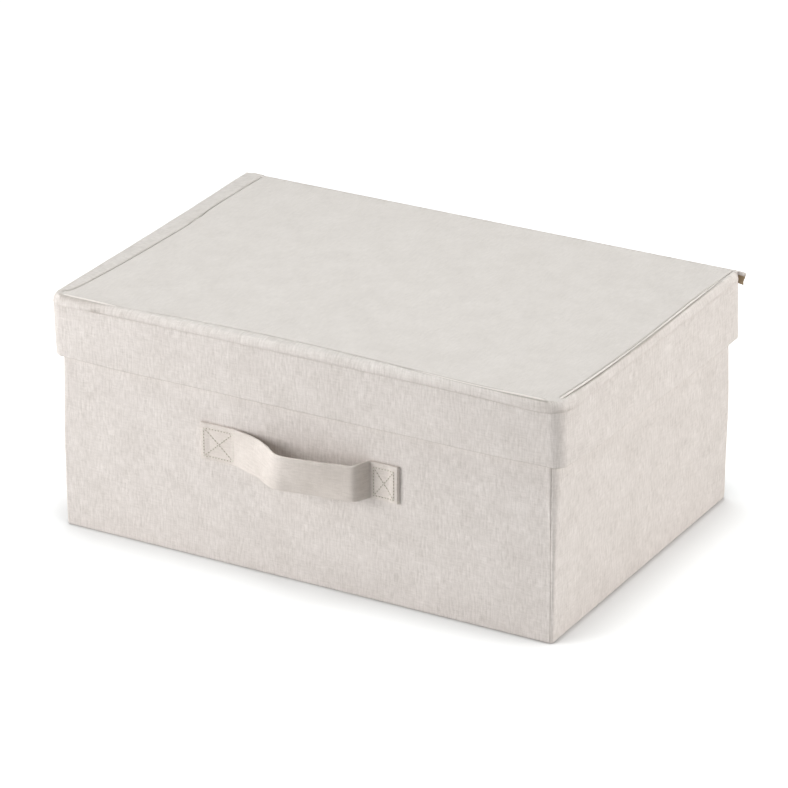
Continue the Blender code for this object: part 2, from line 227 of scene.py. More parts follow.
class ClothLooks(bpy.types.PropertyGroup):
    linen: colour("Linen", (0.775, 0.715, 0.675), "Undyed linen")
    webbing: colour("Strap", (0.77, 0.7, 0.648), "Cloth of the strap")
    lining: colour("Lining", (0.78, 0.74, 0.70), "Non-woven lining")
    board: colour("Board", (0.46, 0.42, 0.37), "Grey-brown board")
    # The ear's inner side: partly the back's own brown, partly painted shade inside the fold
    backing: colour("Backing", (0.5, 0.38, 0.25), "Inner side of the hinge cloth's open end")
    thread: colour("Thread", (0.80, 0.76, 0.69), "Cotton thread")
    # Painted shade: dark discs at the stitches' ends stand for the shade in the needle holes
    hole: colour("Hole", (0.46, 0.39, 0.32), "Shaded needle holes")
    piping: colour("Piping", (0.9, 0.835, 0.79), "Bleached piping in the lid's seam")
    yarn: length("Yarn", 0.62, "Distance from yarn to yarn in the linen")
    strap_yarn: length("Strap yarn", 0.5, "Distance from yarn to yarn in the strap")
    slub: share("Slub", 0.5, "Strength of the lighter and darker stretches in the yarn")
    mottle: share("Mottle", 0.35, "Strength of the soft patches in the cloth")
    relief: length("Relief", 0.11, "Height of the weave")


class StageLooks(bpy.types.PropertyGroup):
    lens: FloatProperty(name="Lens", description="Focal length in mm on a 36 mm sensor", default=195.26)
    camera: FloatVectorProperty(
        name="Camera", description="Place of the camera", default=(1.5358, -2.7022, 1.4581), subtype="XYZ"
    )
    sky: FloatProperty(name="Sky", description="Strength of the even light from all round", default=0.12)
    key: FloatProperty(name="Key", description="Power of the front left lamp", default=47.2, unit="POWER")
    side: FloatProperty(name="Side", description="Power of the lamp at the right", default=48.0, unit="POWER")
    top: FloatProperty(name="Top", description="Power of the lamp overhead", default=18.3, unit="POWER")
    floor: FloatProperty(name="Floor", description="How pale the floor is", default=0.8)


class StorageBox(bpy.types.PropertyGroup):
    body: PointerProperty(type=BodySizes)
    rim: PointerProperty(type=RimSizes)
    lining: PointerProperty(type=LiningSizes)
    floor_board: PointerProperty(type=FloorBoardSizes)
    lid: PointerProperty(type=LidSizes)
    seam: PointerProperty(type=SeamSizes)
    hinge: PointerProperty(type=HingeSizes)
    strap: PointerProperty(type=StrapSizes)
    stitch: PointerProperty(type=StitchSizes)
    looks: PointerProperty(type=ClothLooks)
    stage: PointerProperty(type=StageLooks)


def smooth(value, start, end):
    """Nought before start, one after end, and an easy curve between them."""
    part = min(max((value - start) / (end - start), 0), 1)
    return part * part * (3 - 2 * part)


def swell(u, v, size, seed):
    """Soft unevenness between about -1 and 1, the same each time."""
    return noise.noise(Vector((u / size, v / size, seed)))


def mix(low, high, part):
    return low + (high - low) * part


def hump(distance, width):
    """One at nought, falling away on both sides within about the width."""
    return math.exp(-((distance / width) ** 2))


def rounded_drop(part):
    """How far a quarter of a circle has dropped: nothing at nought, one at one."""
    return 1 - math.sqrt(max(1 - part**2, 0))


def eased(value, knots):
    """A smooth line through (place, value) knots, level at its ends."""
    if value <= knots[0][0]:
        return knots[0][1]
    if value >= knots[-1][0]:
        return knots[-1][1]
    index = max(number for number, knot in enumerate(knots) if knot[0] <= value)
    (start, low), (end, high) = knots[index], knots[index + 1]
    part = (value - start) / (end - start)
    slopes = []
    for spot in (index, index + 1):
        before, after = knots[max(spot - 1, 0)], knots[min(spot + 1, len(knots) - 1)]
        inside = 0 < spot < len(knots) - 1
        slopes.append((after[1] - before[1]) / (after[0] - before[0]) * (end - start) if inside else 0)
    rest = 1 - part
    from_start = (low * (1 + 2 * part) + slopes[0] * part) * rest**2
    return from_start + (high * (1 + 2 * rest) - slopes[1] * rest) * part**2


def graded(start, end, places, fine, coarse, reach=0):
    """Steps from start to end, fine near the given places and coarse away from them."""
    steps = [start]
    while steps[-1] < end:
        near = min((abs(steps[-1] - place) for place in places), default=end)
        steps.append(steps[-1] + min(coarse, fine + max(near - reach, 0) / 4))
    steps[-1] = end
    if len(steps) > 2 and steps[-1] - steps[-2] < fine / 2:
        steps.pop(-2)
    return steps


def arc(centre, radius, start, end, steps):
    """Points of a round bend in a section: (outward, up), with angles in quarter turns from outward to up."""
    points = []
    for step in range(steps + 1):
        angle = QUARTER * mix(start, end, step / steps)
        points.append((centre[0] + radius * math.cos(angle), centre[1] + radius * math.sin(angle)))
    return points


def run_lengths(points):
    """How far along a line each of its points lies."""
    runs = [0]
    for before, after in zip(points, points[1:]):
        runs.append(runs[-1] + math.dist(before, after))
    return runs


def softened(points, times):
    """A line of points with its bends eased and its ends kept."""
    for _ in range(times):
        points[1:-1] = [(a + 2 * b + c) / 4 for a, b, c in zip(points, points[1:], points[2:])]
    return points


def walked(runs, wanted):
    """Which stretch of a line each wanted run lies on, and in what share of it."""
    index = 0
    for run in wanted:
        while index < len(runs) - 2 and runs[index + 1] < run:
            index += 1
        yield index, (run - runs[index]) / max(runs[index + 1] - runs[index], 1e-9)


class Track:
    """A line of square corners seen from above, walked with the outside on the right hand."""

    def __init__(self, corners, radii, closed):
        self.corners = [Vector(corner) for corner in corners]
        self.radii = radii
        self.closed = closed
        ends = self.corners[1:] + self.corners[:1] if closed else self.corners[1:]
        self.ways = [(end - start).normalized() for start, end in zip(self.corners, ends)]
        self.outward = [Vector((way.y, -way.x)) for way in self.ways]
        self.lengths = [(end - start).length for start, end in zip(self.corners, ends)]
        self.starts = [sum(self.lengths[:side]) for side in range(len(self.lengths))]
        self.total = sum(self.lengths)

    def steps(self, fine, coarse, reach):
        """Runs along the line, fine near its corners. A closed line's end, its start again, is left out."""
        steps = graded(0, self.total, (*self.starts, self.total), fine, coarse, reach)
        return steps[:-1] if self.closed else steps

    def corner(self, index, out):
        """A corner of the line moved outward on both of its sides."""
        last = len(self.ways)
        if self.closed:
            return self.corners[index % last] + (self.outward[index - 1] + self.outward[index % last]) * out
        before, after = max(index - 1, 0), min(index, last - 1)
        move = self.outward[before] + (self.outward[after] if before != after else Vector((0, 0)))
        return self.corners[index] + move * out

    def at(self, run, out, radii=None):
        """The point at a run along the line, moved outward, and the outward direction there."""
        radii = radii or self.radii
        if self.closed:
            run %= self.total
        side = max(index for index, start in enumerate(self.starts) if start <= run or index == 0)
        start, end = self.corner(side, out), self.corner(side + 1, out)
        point = start.lerp(end, (run - self.starts[side]) / self.lengths[side])
        count = len(self.ways)
        for index, place, sign in ((side, start, 1), (side + 1, end, -1)):
            if not self.closed and index in (0, count):
                continue
            radius = radii[index % len(radii)] + out
            distance = (point - place).length
            if distance < radius:
                before, after = self.outward[index - 1], self.outward[index % count]
                turn = QUARTER / 2 * (1 + sign * distance / radius)
                normal = before * math.cos(turn) + after * math.sin(turn)
                return place - (before + after) * radius + normal * radius, normal
        return point, self.outward[side]


def deselect():
    for obj in bpy.context.selected_objects:
        obj.select_set(False)


def make_active(obj):
    deselect()
    obj.select_set(True)
    bpy.context.view_layer.objects.active = obj


def add_object(name, data):
    obj = bpy.data.objects.new(name, data)
    bpy.context.scene.collection.objects.link(obj)
    return obj


def add_mesh(name, cage):
    """The object of a finished cage of vertices and faces."""
    mesh = bpy.data.meshes.new(name)
    cage.to_mesh(mesh)
    cage.free()
    return add_object(name, mesh)


def sheet_mesh(name, points, flat, closed=False, caps=(), painted_shades=()):
    """A cloth face through rows of points, closed round each row if asked, with the rows in caps filled.

    Its UV map is its flat places in metres, and its painted shades darken its colour where shade falls in
    seams, folds and on the strap.
    """
    cage = bmesh.new()
    layer = cage.loops.layers.uv.new(UV_NAME)
    painted_shade_layer = cage.verts.layers.float.new(PAINTED_SHADE_NAME)
    rows = [[cage.verts.new(point) for point in row] for row in points]
    for verts, values in zip(rows, painted_shades):
        for vert, value in zip(verts, values):
            vert[painted_shade_layer] = value
    count = len(rows[0])
    for row in range(len(rows) - 1):
        for column in range(count if closed else count - 1):
            places = ((row, column), (row, column + 1), (row + 1, column + 1), (row + 1, column))
            face = cage.faces.new([rows[i][j % count] for i, j in places])
            for loop, (i, j) in zip(face.loops, places):
                loop[layer].uv = flat[i][j]
    for row in caps:
        face = cage.faces.new(rows[row])
        for loop, place in zip(face.loops, flat[row]):
            loop[layer].uv = place
    if len(caps) == 2:
        bmesh.ops.recalc_face_normals(cage, faces=cage.faces)
    return add_mesh(name, cage)


def give_cloth(obj, thickness, material, backing=None):
    """Gives a cloth face its thickness inward and its material, and shades it smooth up to its cut edges."""
    obj.data.materials.append(material)
    make_active(obj)
    if thickness:
        solid = obj.modifiers.new("thickness", "SOLIDIFY")
        solid.thickness = thickness
        solid.offset = -1
        if backing:
            obj.data.materials.append(backing)
            solid.material_offset = 1
        bpy.ops.object.modifier_apply(modifier=solid.name)
    bpy.ops.object.shade_smooth_by_angle(angle=SMOOTH_ANGLE)
    return obj


def around_sheet(name, track, runs, section, place, thickness, material):
    """A strip of cloth swept along a track. Place gives a point from its run and its section's two numbers."""
    points = [[place(run, *spot) for run in runs] for spot in section]
    across = runs + [runs[0] + track.total] if track.closed else runs
    flat = [[(run, reach) for run in across] for reach in run_lengths(section)]
    return give_cloth(sheet_mesh(name, points, flat, track.closed), thickness, material)


def grid_sheet(name, xs, ys, height, thickness, material, upward):
    """A flat panel of cloth over a grid, its face up or down."""
    order = ys if upward else ys[::-1]
    points = [[(x, y, height(x, y)) for x in xs] for y in order]
    flat = [[(x, y) for x in xs] for y in order]
    return give_cloth(sheet_mesh(name, points, flat), thickness, material)


def level_sheet(name, x, y, z, thickness, upward):
    """A level panel of lining, as far as x and y either way."""
    xs, ys = even(-x, x, 12 * MM), even(-y, y, 12 * MM)
    return grid_sheet(name, xs, ys, lambda across, along: z, thickness, material_for("lining_felt"), upward)


def even(start, end, step):
    """Places from start to end in equal steps of about this size."""
    count = max(round((end - start) / step), 1)
    return [mix(start, end, index / count) for index in range(count + 1)]


# Materials


class Nodes:
    """A node tree that is built by calling what each node does."""

    def __init__(self, tree):
        self.tree = tree

    def add(self, kind, **values):
        node = self.tree.nodes.new(kind)
        for name, value in values.items():
            setattr(node, name, value)
        return node

    def feed(self, node, **sockets):
        for name, value in sockets.items():
            socket = node.inputs[int(name[1:])] if name[0] == "_" else node.inputs[name.replace("_", " ")]
            if isinstance(value, bpy.types.NodeSocket):
                self.tree.links.new(value, socket)
            else:
                socket.default_value = value
        return node

    def math(self, kind, *values):
        node = self.add("ShaderNodeMath", operation=kind)
        self.feed(node, **{f"_{index}": value for index, value in enumerate(values)})
        return node.outputs[0]

    def vector(self, kind, *values):
        node = self.add("ShaderNodeVectorMath", operation=kind)
        for index, value in enumerate(values):
            spot = 3 if kind == "SCALE" and index else index
            self.feed(node, **{f"_{spot}": value})
        return node.outputs[0]

    def join(self, x, y, z=0.0):
        return self.feed(self.add("ShaderNodeCombineXYZ"), _0=x, _1=y, _2=z).outputs[0]

    def noise(self, vector, scale, detail=2.0, roughness=0.5):
        node = self.add("ShaderNodeTexNoise")
        self.feed(node, Vector=vector, Scale=scale, Detail=detail, Roughness=roughness)
        return node.outputs["Fac"]

    def centred(self, *given):
        """Noise about nought."""
        return self.math("SUBTRACT", self.noise(*given), 0.5)

    def moved(self, vector, *shift):
        return self.vector("ADD", vector, shift)

    def stretched(self, vector, *counts):
        return self.vector("MULTIPLY", vector, counts)

    def mapped(self, value, low, high, to_low=0.0, to_high=1.0):
        node = self.add("ShaderNodeMapRange")
        self.feed(node, Value=value, From_Min=low, From_Max=high, To_Min=to_low, To_Max=to_high)
        return node.outputs[0]

    def between(self, factor, low, high, kind="RGBA"):
        node = self.add("ShaderNodeMix", data_type=kind)
        first = {"RGBA": 6, "FLOAT": 2}[kind]
        self.feed(node, **{"_0": factor, f"_{first}": low, f"_{first + 1}": high})
        return node.outputs[{"RGBA": 2, "FLOAT": 0}[kind]]


EFFECT = (("Colour", "NodeSocketColor"), ("Roughness", "NodeSocketFloat"), ("Height", "NodeSocketFloat"))


def new_group(name, inputs, outputs):
    tree = bpy.data.node_groups.new(name, "ShaderNodeTree")
    for label, kind, value in inputs:
        socket = tree.interface.new_socket(label, in_out="INPUT", socket_type=kind)
        if value is not None:
            socket.default_value = value
    for label, kind in outputs:
        tree.interface.new_socket(label, in_out="OUTPUT", socket_type=kind)
    nodes = Nodes(tree)
    return nodes, nodes.add("NodeGroupInput").outputs, nodes.add("NodeGroupOutput")


def tinted(nodes, base, light):
    """A colour made lighter or darker about its own level, a touch warmer where it is darker."""
    split = nodes.feed(nodes.add("ShaderNodeSeparateColor"), Color=base).outputs
    parts = {}
    for index, strength in enumerate((0.94, 1.0, 1.08)):
        parts[f"_{index}"] = nodes.math("MULTIPLY", split[index], nodes.math("POWER", light, strength))
    return nodes.feed(nodes.add("ShaderNodeCombineColor"), **parts).outputs[0]


def plain_weave_group():
    """Linen-look plain weave on a flat cloth's own lengths: yarns, slubs, soft patches and flecks."""
    nodes, given, result = new_group(
        "plain weave",
        (
            ("Flat", "NodeSocketVector", None),
            ("Colour", "NodeSocketColor", None),
            ("Yarn", "NodeSocketFloat", 0.0006),
            ("Slub", "NodeSocketFloat", 0.5),
            ("Mottle", "NodeSocketFloat", 0.5),
            # Tuck: the painted shade from the cloth's attribute
            ("Tuck", "NodeSocketFloat", 0.0),
        ),
        EFFECT,
    )
    flat = given["Flat"]
    counts = nodes.vector("SCALE", flat, nodes.math("DIVIDE", 1.0, given["Yarn"]))
    split = nodes.feed(nodes.add("ShaderNodeSeparateXYZ"), Vector=counts).outputs
    drift = nodes.centred(flat, 90.0)
    drift_across = nodes.centred(nodes.moved(flat, 3.0, 7.0, 0.0), 110.0)
    warp = nodes.math("MULTIPLY_ADD", drift, 2.6, split["X"])
    weft = nodes.math("MULTIPLY_ADD", drift_across, 2.6, split["Y"])
    warp_yarn, weft_yarn = nodes.math("FLOOR", warp), nodes.math("FLOOR", weft)
    crowns = []
    for place in (warp, weft):
        offset = nodes.math("MULTIPLY_ADD", nodes.math("FRACT", place), 2.0, -1.0)
        crowns.append(nodes.math("SUBTRACT", 1.0, nodes.math("MULTIPLY", offset, offset)))
    over = nodes.math("ABSOLUTE", nodes.math("MODULO", nodes.math("ADD", warp_yarn, weft_yarn), 2.0))
    warp_rise, weft_rise = [nodes.math("MULTIPLY_ADD", crown, 0.5, 0.5) for crown in crowns]
    warp_top = nodes.math("MULTIPLY", crowns[0], weft_rise)
    weft_top = nodes.math("MULTIPLY", crowns[1], warp_rise)
    weave = nodes.between(over, weft_top, warp_top, "FLOAT")
    warp_run = nodes.join(nodes.math("MULTIPLY", warp_yarn, 1.37), nodes.math("MULTIPLY", weft, 0.075))
    weft_run = nodes.join(nodes.math("MULTIPLY", warp, 0.06), nodes.math("MULTIPLY", weft_yarn, 1.37), 9.0)
    warp_slub = nodes.noise(warp_run, 1.0, 3.0, 0.6)
    weft_slub = nodes.noise(weft_run, 1.0, 3.0, 0.6)
    slub = nodes.between(nodes.math("MULTIPLY_ADD", over, 0.5, 0.3), weft_slub, warp_slub, "FLOAT")
    slub = nodes.math("SUBTRACT", slub, 0.5)
    patches = nodes.centred(flat, 38.0, 3.0, 0.6)
    cross = nodes.centred(nodes.stretched(flat, 150.0, 700.0, 0.0), 1.0, 3.0)
    bands = nodes.centred(nodes.stretched(flat, 620.0, 120.0, 0.0), 1.0, 3.0)
    bands = nodes.math("MULTIPLY_ADD", cross, 0.45, bands)
    strong = nodes.mapped(nodes.noise(nodes.moved(flat, 9.0, 2.0, 0.0), 60.0), 0.3, 0.7, 0.7, 1.4)
    bands = nodes.math("MULTIPLY", bands, strong)
    fleck = nodes.mapped(nodes.noise(nodes.stretched(flat, 900.0, 500.0, 0.0), 1.0, 1.0), 0.72, 0.82)
    light = 1.0
    for part, strength, much in (
        (slub, "Slub", 0.8),
        (patches, "Mottle", 0.7),
        (bands, "Slub", 0.85),
        (fleck, "Slub", -0.3),
    ):
        light = nodes.math("MULTIPLY_ADD", nodes.math("MULTIPLY", part, given[strength]), much, light)
    # Painted shade between the yarns: the weave's hollows are darker than its crowns
    light = nodes.math("MULTIPLY", light, nodes.math("MULTIPLY_ADD", weave, 0.2, 0.9))
    # Painted shade: the tuck input darkens the colour by up to 40 %, warmer where darker through tinted
    light = nodes.math("MULTIPLY", light, nodes.math("MULTIPLY_ADD", given["Tuck"], -0.4, 1.0))
    thick = nodes.math("MULTIPLY_ADD", slub, nodes.math("MULTIPLY", given["Slub"], 1.4), weave)
    rough = nodes.math("MULTIPLY_ADD", weave, -0.08, 0.95)
    nodes.feed(result, Colour=tinted(nodes, given["Colour"], light), Roughness=rough, Height=thick)
    return nodes.tree


def felt_group():
    """Pressed fibres, as in non-woven lining and grey board: fine fibre noise and, if asked, pressed dots."""
    nodes, given, result = new_group(
        "pressed fibres",
        (
            ("Place", "NodeSocketVector", None),
            ("Colour", "NodeSocketColor", None),
            ("Fibre", "NodeSocketFloat", 0.0008),
            ("Contrast", "NodeSocketFloat", 0.5),
            ("Dots", "NodeSocketFloat", 0.0),
        ),
        EFFECT,
    )
    place = nodes.vector("SCALE", given["Place"], nodes.math("DIVIDE", 1.0, given["Fibre"]))
    fibres = nodes.noise(place, 0.8, 4.0, 0.65)
    clouds = nodes.noise(given["Place"], 30.0, 2.0)
    cells = nodes.add("ShaderNodeTexVoronoi", feature="F1")
    nodes.feed(cells, Vector=place, Scale=0.55, Randomness=0.15)
    dot = nodes.mapped(cells.outputs["Distance"], 0.15, 0.42)
    pressed = nodes.between(given["Dots"], 1.0, dot, "FLOAT")
    spread = nodes.math("SUBTRACT", nodes.math("ADD", fibres, nodes.math("MULTIPLY", clouds, 0.3)), 0.65)
    light = nodes.math("MULTIPLY_ADD", nodes.math("MULTIPLY", spread, given["Contrast"]), 0.5, 1.0)
    light = nodes.math("MULTIPLY", light, nodes.math("MULTIPLY_ADD", pressed, 0.05, 0.95))
    height = nodes.math("ADD", nodes.math("MULTIPLY", fibres, 0.5), pressed)
    rough = nodes.math("MULTIPLY_ADD", fibres, 0.1, 0.84)
    nodes.feed(result, Colour=tinted(nodes, given["Colour"], light), Roughness=rough, Height=height)
    return nodes.tree


def new_material(name, sheen=0.0):
    material = bpy.data.materials.new(name)
    material.use_nodes = True
    nodes = Nodes(material.node_tree)
    shader = material.node_tree.nodes["Principled BSDF"]
    nodes.feed(shader, Metallic=0.0, Specular_IOR_Level=0.2, Sheen_Weight=sheen, Sheen_Roughness=0.6)
    return material, nodes, shader


def finish_material(nodes, shader, effect, relief):
    colour, rough, height = effect.outputs
    bump = nodes.feed(nodes.add("ShaderNodeBump"), Strength=1.0, Distance=relief, Height=height)
    nodes.feed(shader, Base_Color=colour, Roughness=rough, Normal=bump.outputs[0])


def woven(name, base, yarn, slub, mottle, relief):
    """Woven cloth on a piece's own UV map, which is in metres."""
    material, nodes, shader = new_material(name, sheen=0.1)
    flat = nodes.add("ShaderNodeUVMap", uv_map=UV_NAME).outputs[0]
    # The tuck attribute read here is painted shade, passed into the weave group
    tuck = nodes.add("ShaderNodeAttribute", attribute_name=PAINTED_SHADE_NAME).outputs["Fac"]
    group = bpy.data.node_groups.get("plain weave") or plain_weave_group()
    effect = nodes.add("ShaderNodeGroup", node_tree=group)
    nodes.feed(effect, Flat=flat, Colour=(*base, 1), Yarn=yarn, Slub=slub, Mottle=mottle, Tuck=tuck)
    finish_material(nodes, shader, effect, relief)
    return material


def pressed(name, base, fibre, contrast, dots, relief):
    """Pressed fibres on the place in the piece, which has no direction of its own."""
    material, nodes, shader = new_material(name)
    place = nodes.add("ShaderNodeTexCoord").outputs["Object"]
    group = bpy.data.node_groups.get("pressed fibres") or felt_group()
    effect = nodes.add("ShaderNodeGroup", node_tree=group)
    nodes.feed(effect, Place=place, Colour=(*base, 1), Fibre=fibre, Contrast=contrast, Dots=dots)
    finish_material(nodes, shader, effect, relief)
    return material


def material_for(finish):
    """The material of a finish, made the first time that it is asked for."""
    if finish in bpy.data.materials and "made_here" in bpy.data.materials[finish]:
        return bpy.data.materials[finish]
    looks = bpy.context.scene.storage_box.looks
    makers = {
        "linen_cloth": lambda: woven(finish, looks.linen, looks.yarn, looks.slub, looks.mottle, looks.relief),
        "linen_top": lambda: woven(
            finish, looks.linen, looks.yarn, looks.slub * 0.35, looks.mottle * 0.7, looks.relief * 0.6
        ),
        "strap_cloth": lambda: woven(
            finish, looks.webbing, looks.strap_yarn, looks.slub * 0.6, looks.mottle, looks.relief * 0.7
        ),
        "piping_cotton": lambda: woven(finish, looks.piping, 0.35 * MM, 0.2, 0.1, 0.03 * MM),
        "lining_felt": lambda: pressed(finish, looks.lining, 0.8 * MM, 0.35, 0.8, 0.1 * MM),
        "grey_board": lambda: pressed(finish, looks.board, 1.2 * MM, 0.9, 0.0, 0.06 * MM),
        "shaded_backing_cloth": lambda: pressed(finish, looks.backing, 0.6 * MM, 0.9, 0.0, 0.1 * MM),
        "cotton_thread": lambda: pressed(finish, looks.thread, 0.25 * MM, 0.6, 0.0, 0.05 * MM),
        "needle_hole_shade": lambda: pressed(finish, looks.hole, 0.25 * MM, 0.3, 0.0, 0.02 * MM),
    }
    material = makers[finish]()
    material["made_here"] = True
    return material


# Cloth on the box


def body_track(sizes, height=0.0):
    """The body's outline, walked from the front left corner. Its corners are rounder towards the rim."""
    radius = mix(sizes.low_corner, sizes.high_corner, smooth(height, 0.07, SKIRT_BOTTOM))
    corners = (
        (-BODY_SIDE, BODY_FRONT),
        (BODY_SIDE, BODY_FRONT),
        (BODY_SIDE, BODY_REAR),
        (-BODY_SIDE, BODY_REAR),
    )
    return Track(corners, [radius] * 4, True)


def body_seams(track, offset):
    """Where the upright seams run: on the front and back at the right, and just round the other corners."""
    front, right, back, left = track.lengths
    return (front - offset, front + right + offset, front + right + back + offset, track.total - offset)


def seam_dip(distance):
    """The section of a stitched seam: a narrow dip between two low swells."""
    narrow, wide = 0.42 * MM, 1.3 * MM
    return hump(distance, narrow) - 0.3 * hump(abs(distance) - 1.7 * MM, wide)


def build_body_cloth(box):
    sizes = box.body
    track = body_track(sizes)
    middle_seam = (sizes.seam_low + sizes.seam_high) / 2
    fine_places = (*body_seams(track, middle_seam), *track.starts)
    runs = graded(-middle_seam, track.total - middle_seam, fine_places, 0.3 * MM, 7 * MM, 1.6 * MM)[:-1]
    turn = sizes.base_turn
    section = [(-turn, TURNED_EDGE), (0.8 * MM - turn, 0.12 * MM), (1.6 * MM - turn, 0)]
    section += [(-1.5 * sizes.edge, 0)]
    section += arc((-sizes.edge, sizes.edge), sizes.edge, -1, 0, 6)
    section += [(0, z) for z in even(sizes.edge, COVER_TOP, 3.4 * MM)[1:]]
    tracks = {z: body_track(sizes, z) for _, z in section}

    def place(run, out, z):
        point, normal = tracks[z].at(run, out)
        loose = smooth(z, sizes.edge, 0.03) * (1 - smooth(z, SKIRT_BOTTOM - 0.02, SKIRT_BOTTOM))
        away = loose * sizes.swell * (0.5 + 0.5 * swell(run, z, 0.07, 1.0) + 0.35 * swell(run, z, 0.025, 4.0))
        bow = mix(0.35, 1, smooth(z, 0.02, 0.11)) * sizes.bow_right if normal.x > 0 else sizes.bow_left
        away += bow * abs(normal.x) * smooth(z, 0, 4 * MM) * (1 - smooth(z, SKIRT_BOTTOM, RIM_TOP - 0.015))
        offset = mix(sizes.seam_low, sizes.seam_high, smooth(z, 0.0, SKIRT_BOTTOM))
        half_round = track.total / 2
        seams = body_seams(track, offset)
        near = min(((run - seam + half_round) % track.total - half_round for seam in seams), key=abs)
        stitched = smooth(z, -1 * MM, 3 * MM) * (1 + 0.35 * swell(z, run, 0.006, 8.0))
        depth = sizes.seam_depth * stitched * seam_dip(near + 0.25 * MM * swell(z, run, 0.02, 2.0))
        return (*(point + normal * (away - depth)), z)

    obj = around_sheet("body_cloth", track, runs, section, place, sizes.cloth, material_for("linen_cloth"))
    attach(obj, "box")
    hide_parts("front_cover", "back_cover", "left_cover", "right_cover")
    tall = run_lengths(section)[-1]


def build_base_cloth(box):
    sizes = box.body
    x, y = BODY_SIDE - sizes.base_turn - 0.25 * MM, -BODY_FRONT - sizes.base_turn - 0.25 * MM

    def height(across, along):
        edge = min(x - abs(across), y - abs(along))
        return TURNED_EDGE * (1 - smooth(edge, 0, 1.6 * MM))

    xs = graded(-x, x, (-x, x), 0.6 * MM, 12 * MM)
    ys = graded(-y, y, (-y, y), 0.6 * MM, 12 * MM)
    obj = grid_sheet("base_cloth", xs, ys, height, sizes.cloth, material_for("linen_cloth"), upward=False)
    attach(obj, "box")
    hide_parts("base_cover")


def build_rim_binding(box):
    sizes = box.rim
    track = body_track(box.body, RIM_TOP)
    runs = track.steps(0.8 * MM, 6 * MM, 8 * MM)
    low = RIM_TOP - sizes.drop
    outside, inside = sizes.proud, -WALL - sizes.proud
    fold = sizes.round
    section = [(outside, z) for z in even(low, RIM_TOP - fold, 2 * MM)]
    section += arc((outside - fold, RIM_TOP - fold), fold, 0, 1, 5)[1:]
    section += arc((inside + fold, RIM_TOP - fold), fold, 1, 2, 5)
    section += [(inside, z) for z in even(low, RIM_TOP - fold, 2 * MM)[::-1][1:]]

    def place(run, out, z):
        point, _ = track.at(run, out)
        return (*point, z - 0.25 * MM * (0.5 + 0.5 * swell(run, 0, 0.03, 6.0)) * smooth(z, low, RIM_TOP))

    obj = around_sheet("rim_binding", track, runs, section, place, BINDING_CLOTH, material_for("linen_cloth"))
    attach(obj, "box")
    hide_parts("front_rim_binding", "back_rim_binding", "left_rim_binding", "right_rim_binding")
    wide = run_lengths(section)[-1]


def build_inner_lining(box):
    sizes = box.lining
    track = body_track(box.body, RIM_TOP)
    runs = track.steps(1.0 * MM, 9 * MM, 9 * MM)
    top = RIM_TOP - sizes.tuck
    foot = INNER_FLOOR + sizes.turn
    radii = [sizes.corner + WALL] * 4
    section = [(-WALL, z) for z in even(foot, top, 5 * MM)[::-1]]
    section += arc((-WALL - sizes.turn, foot), sizes.turn, 0, -1, 4)[1:]
    section += [(-WALL - 2 * MM, INNER_FLOOR)]

    def place(run, out, z):
        point, normal = track.at(run, out, radii)
        free = smooth(z, foot, 0.02) * (1 - smooth(z, RIM_TOP - 0.02, RIM_TOP - 0.01))
        away = free * sizes.swell * (0.5 + 0.5 * swell(run, z, 0.05, 12.0) + 0.3 * swell(run, z, 0.018, 3.0))
        return (*(point - normal * away), z)

    obj = around_sheet("inner_lining", track, runs, section, place, sizes.cloth, material_for("lining_felt"))
    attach(obj, "box")
    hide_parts("front_lining", "back_lining", "left_lining", "right_lining")
    tall = run_lengths(section)[-1]
    x, y = BODY_SIDE - WALL - 2.2 * MM, -BODY_FRONT - WALL - 2.2 * MM
    obj = level_sheet("base_lining_cloth", x, y, INNER_FLOOR, sizes.cloth, upward=True)
    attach(obj, "box")
    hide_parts("base_lining")


def build_floor_board_cloth(box):
    sizes = box.floor_board
    corner = 6 * MM
    x, y = BOARD_HIGH.x + sizes.wrap, BOARD_HIGH.y + sizes.wrap
    track = Track(((-x, -y), (x, -y), (x, y), (-x, y)), [corner] * 4, True)
    runs = track.steps(0.9 * MM, 10 * MM, 6 * MM)
    top, edge = BOARD_HIGH.z, sizes.edge
    low = CORE_LOW - sizes.cloth
    section = [(-inset, low) for inset in (sizes.turn_under, sizes.turn_under / 2)]
    section += arc((-edge, low + edge), edge, -1, 0, 4)
    section += arc((-edge, top - edge), edge, 0, 1, 5)
    insets = [inset * MM for inset in (5, 10, 20, 35, 55, 80, 105, 125, 140)]
    section += [(-inset, top) for inset in insets]

    def place(run, out, z):
        point, _ = track.at(run, out)
        lift = 0.15 * MM * (1 + swell(point.x, point.y, 0.06, 20.0)) * smooth(-out, edge, 12 * MM)
        return (*point, z + (lift if z > top - 0.1 * MM else 0))

    along = run_lengths(section)
    points = [[place(run, *spot) for run in runs] for spot in section]
    flat = [[(run, reach) for run in (*runs, track.total)] for reach in along]
    obj = sheet_mesh("floor_board_cloth", points, flat, closed=True, caps=(-1,))
    give_cloth(obj, sizes.cloth, material_for("lining_felt"))
    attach(obj, "floor_board")
    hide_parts("floor_board_top")
    x, y = BOARD_HIGH.x - 3 * MM, BOARD_HIGH.y - 3 * MM
    obj = level_sheet("floor_board_underside_cloth", x, y, BOARD_LOW.z, sizes.cloth, upward=False)
    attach(obj, "floor_board")
    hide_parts("floor_board_underside")


# Cloth on the lid


def lid_track(sizes):
    """The lid's outline, walked from behind the rear left corner round the front to the rear right corner."""
    rear = LID_REAR + sizes.rear_stand
    inner = LID_SIDE - sizes.rear_return
    corners = (
        (-inner, rear),
        (-LID_SIDE, rear),
        (-LID_SIDE, LID_FRONT),
        (LID_SIDE, LID_FRONT),
        (LID_SIDE, rear),
        (inner, rear),
    )
    return Track(corners, [0, sizes.rear_corner, sizes.corner, sizes.corner, sizes.rear_corner, 0], False)


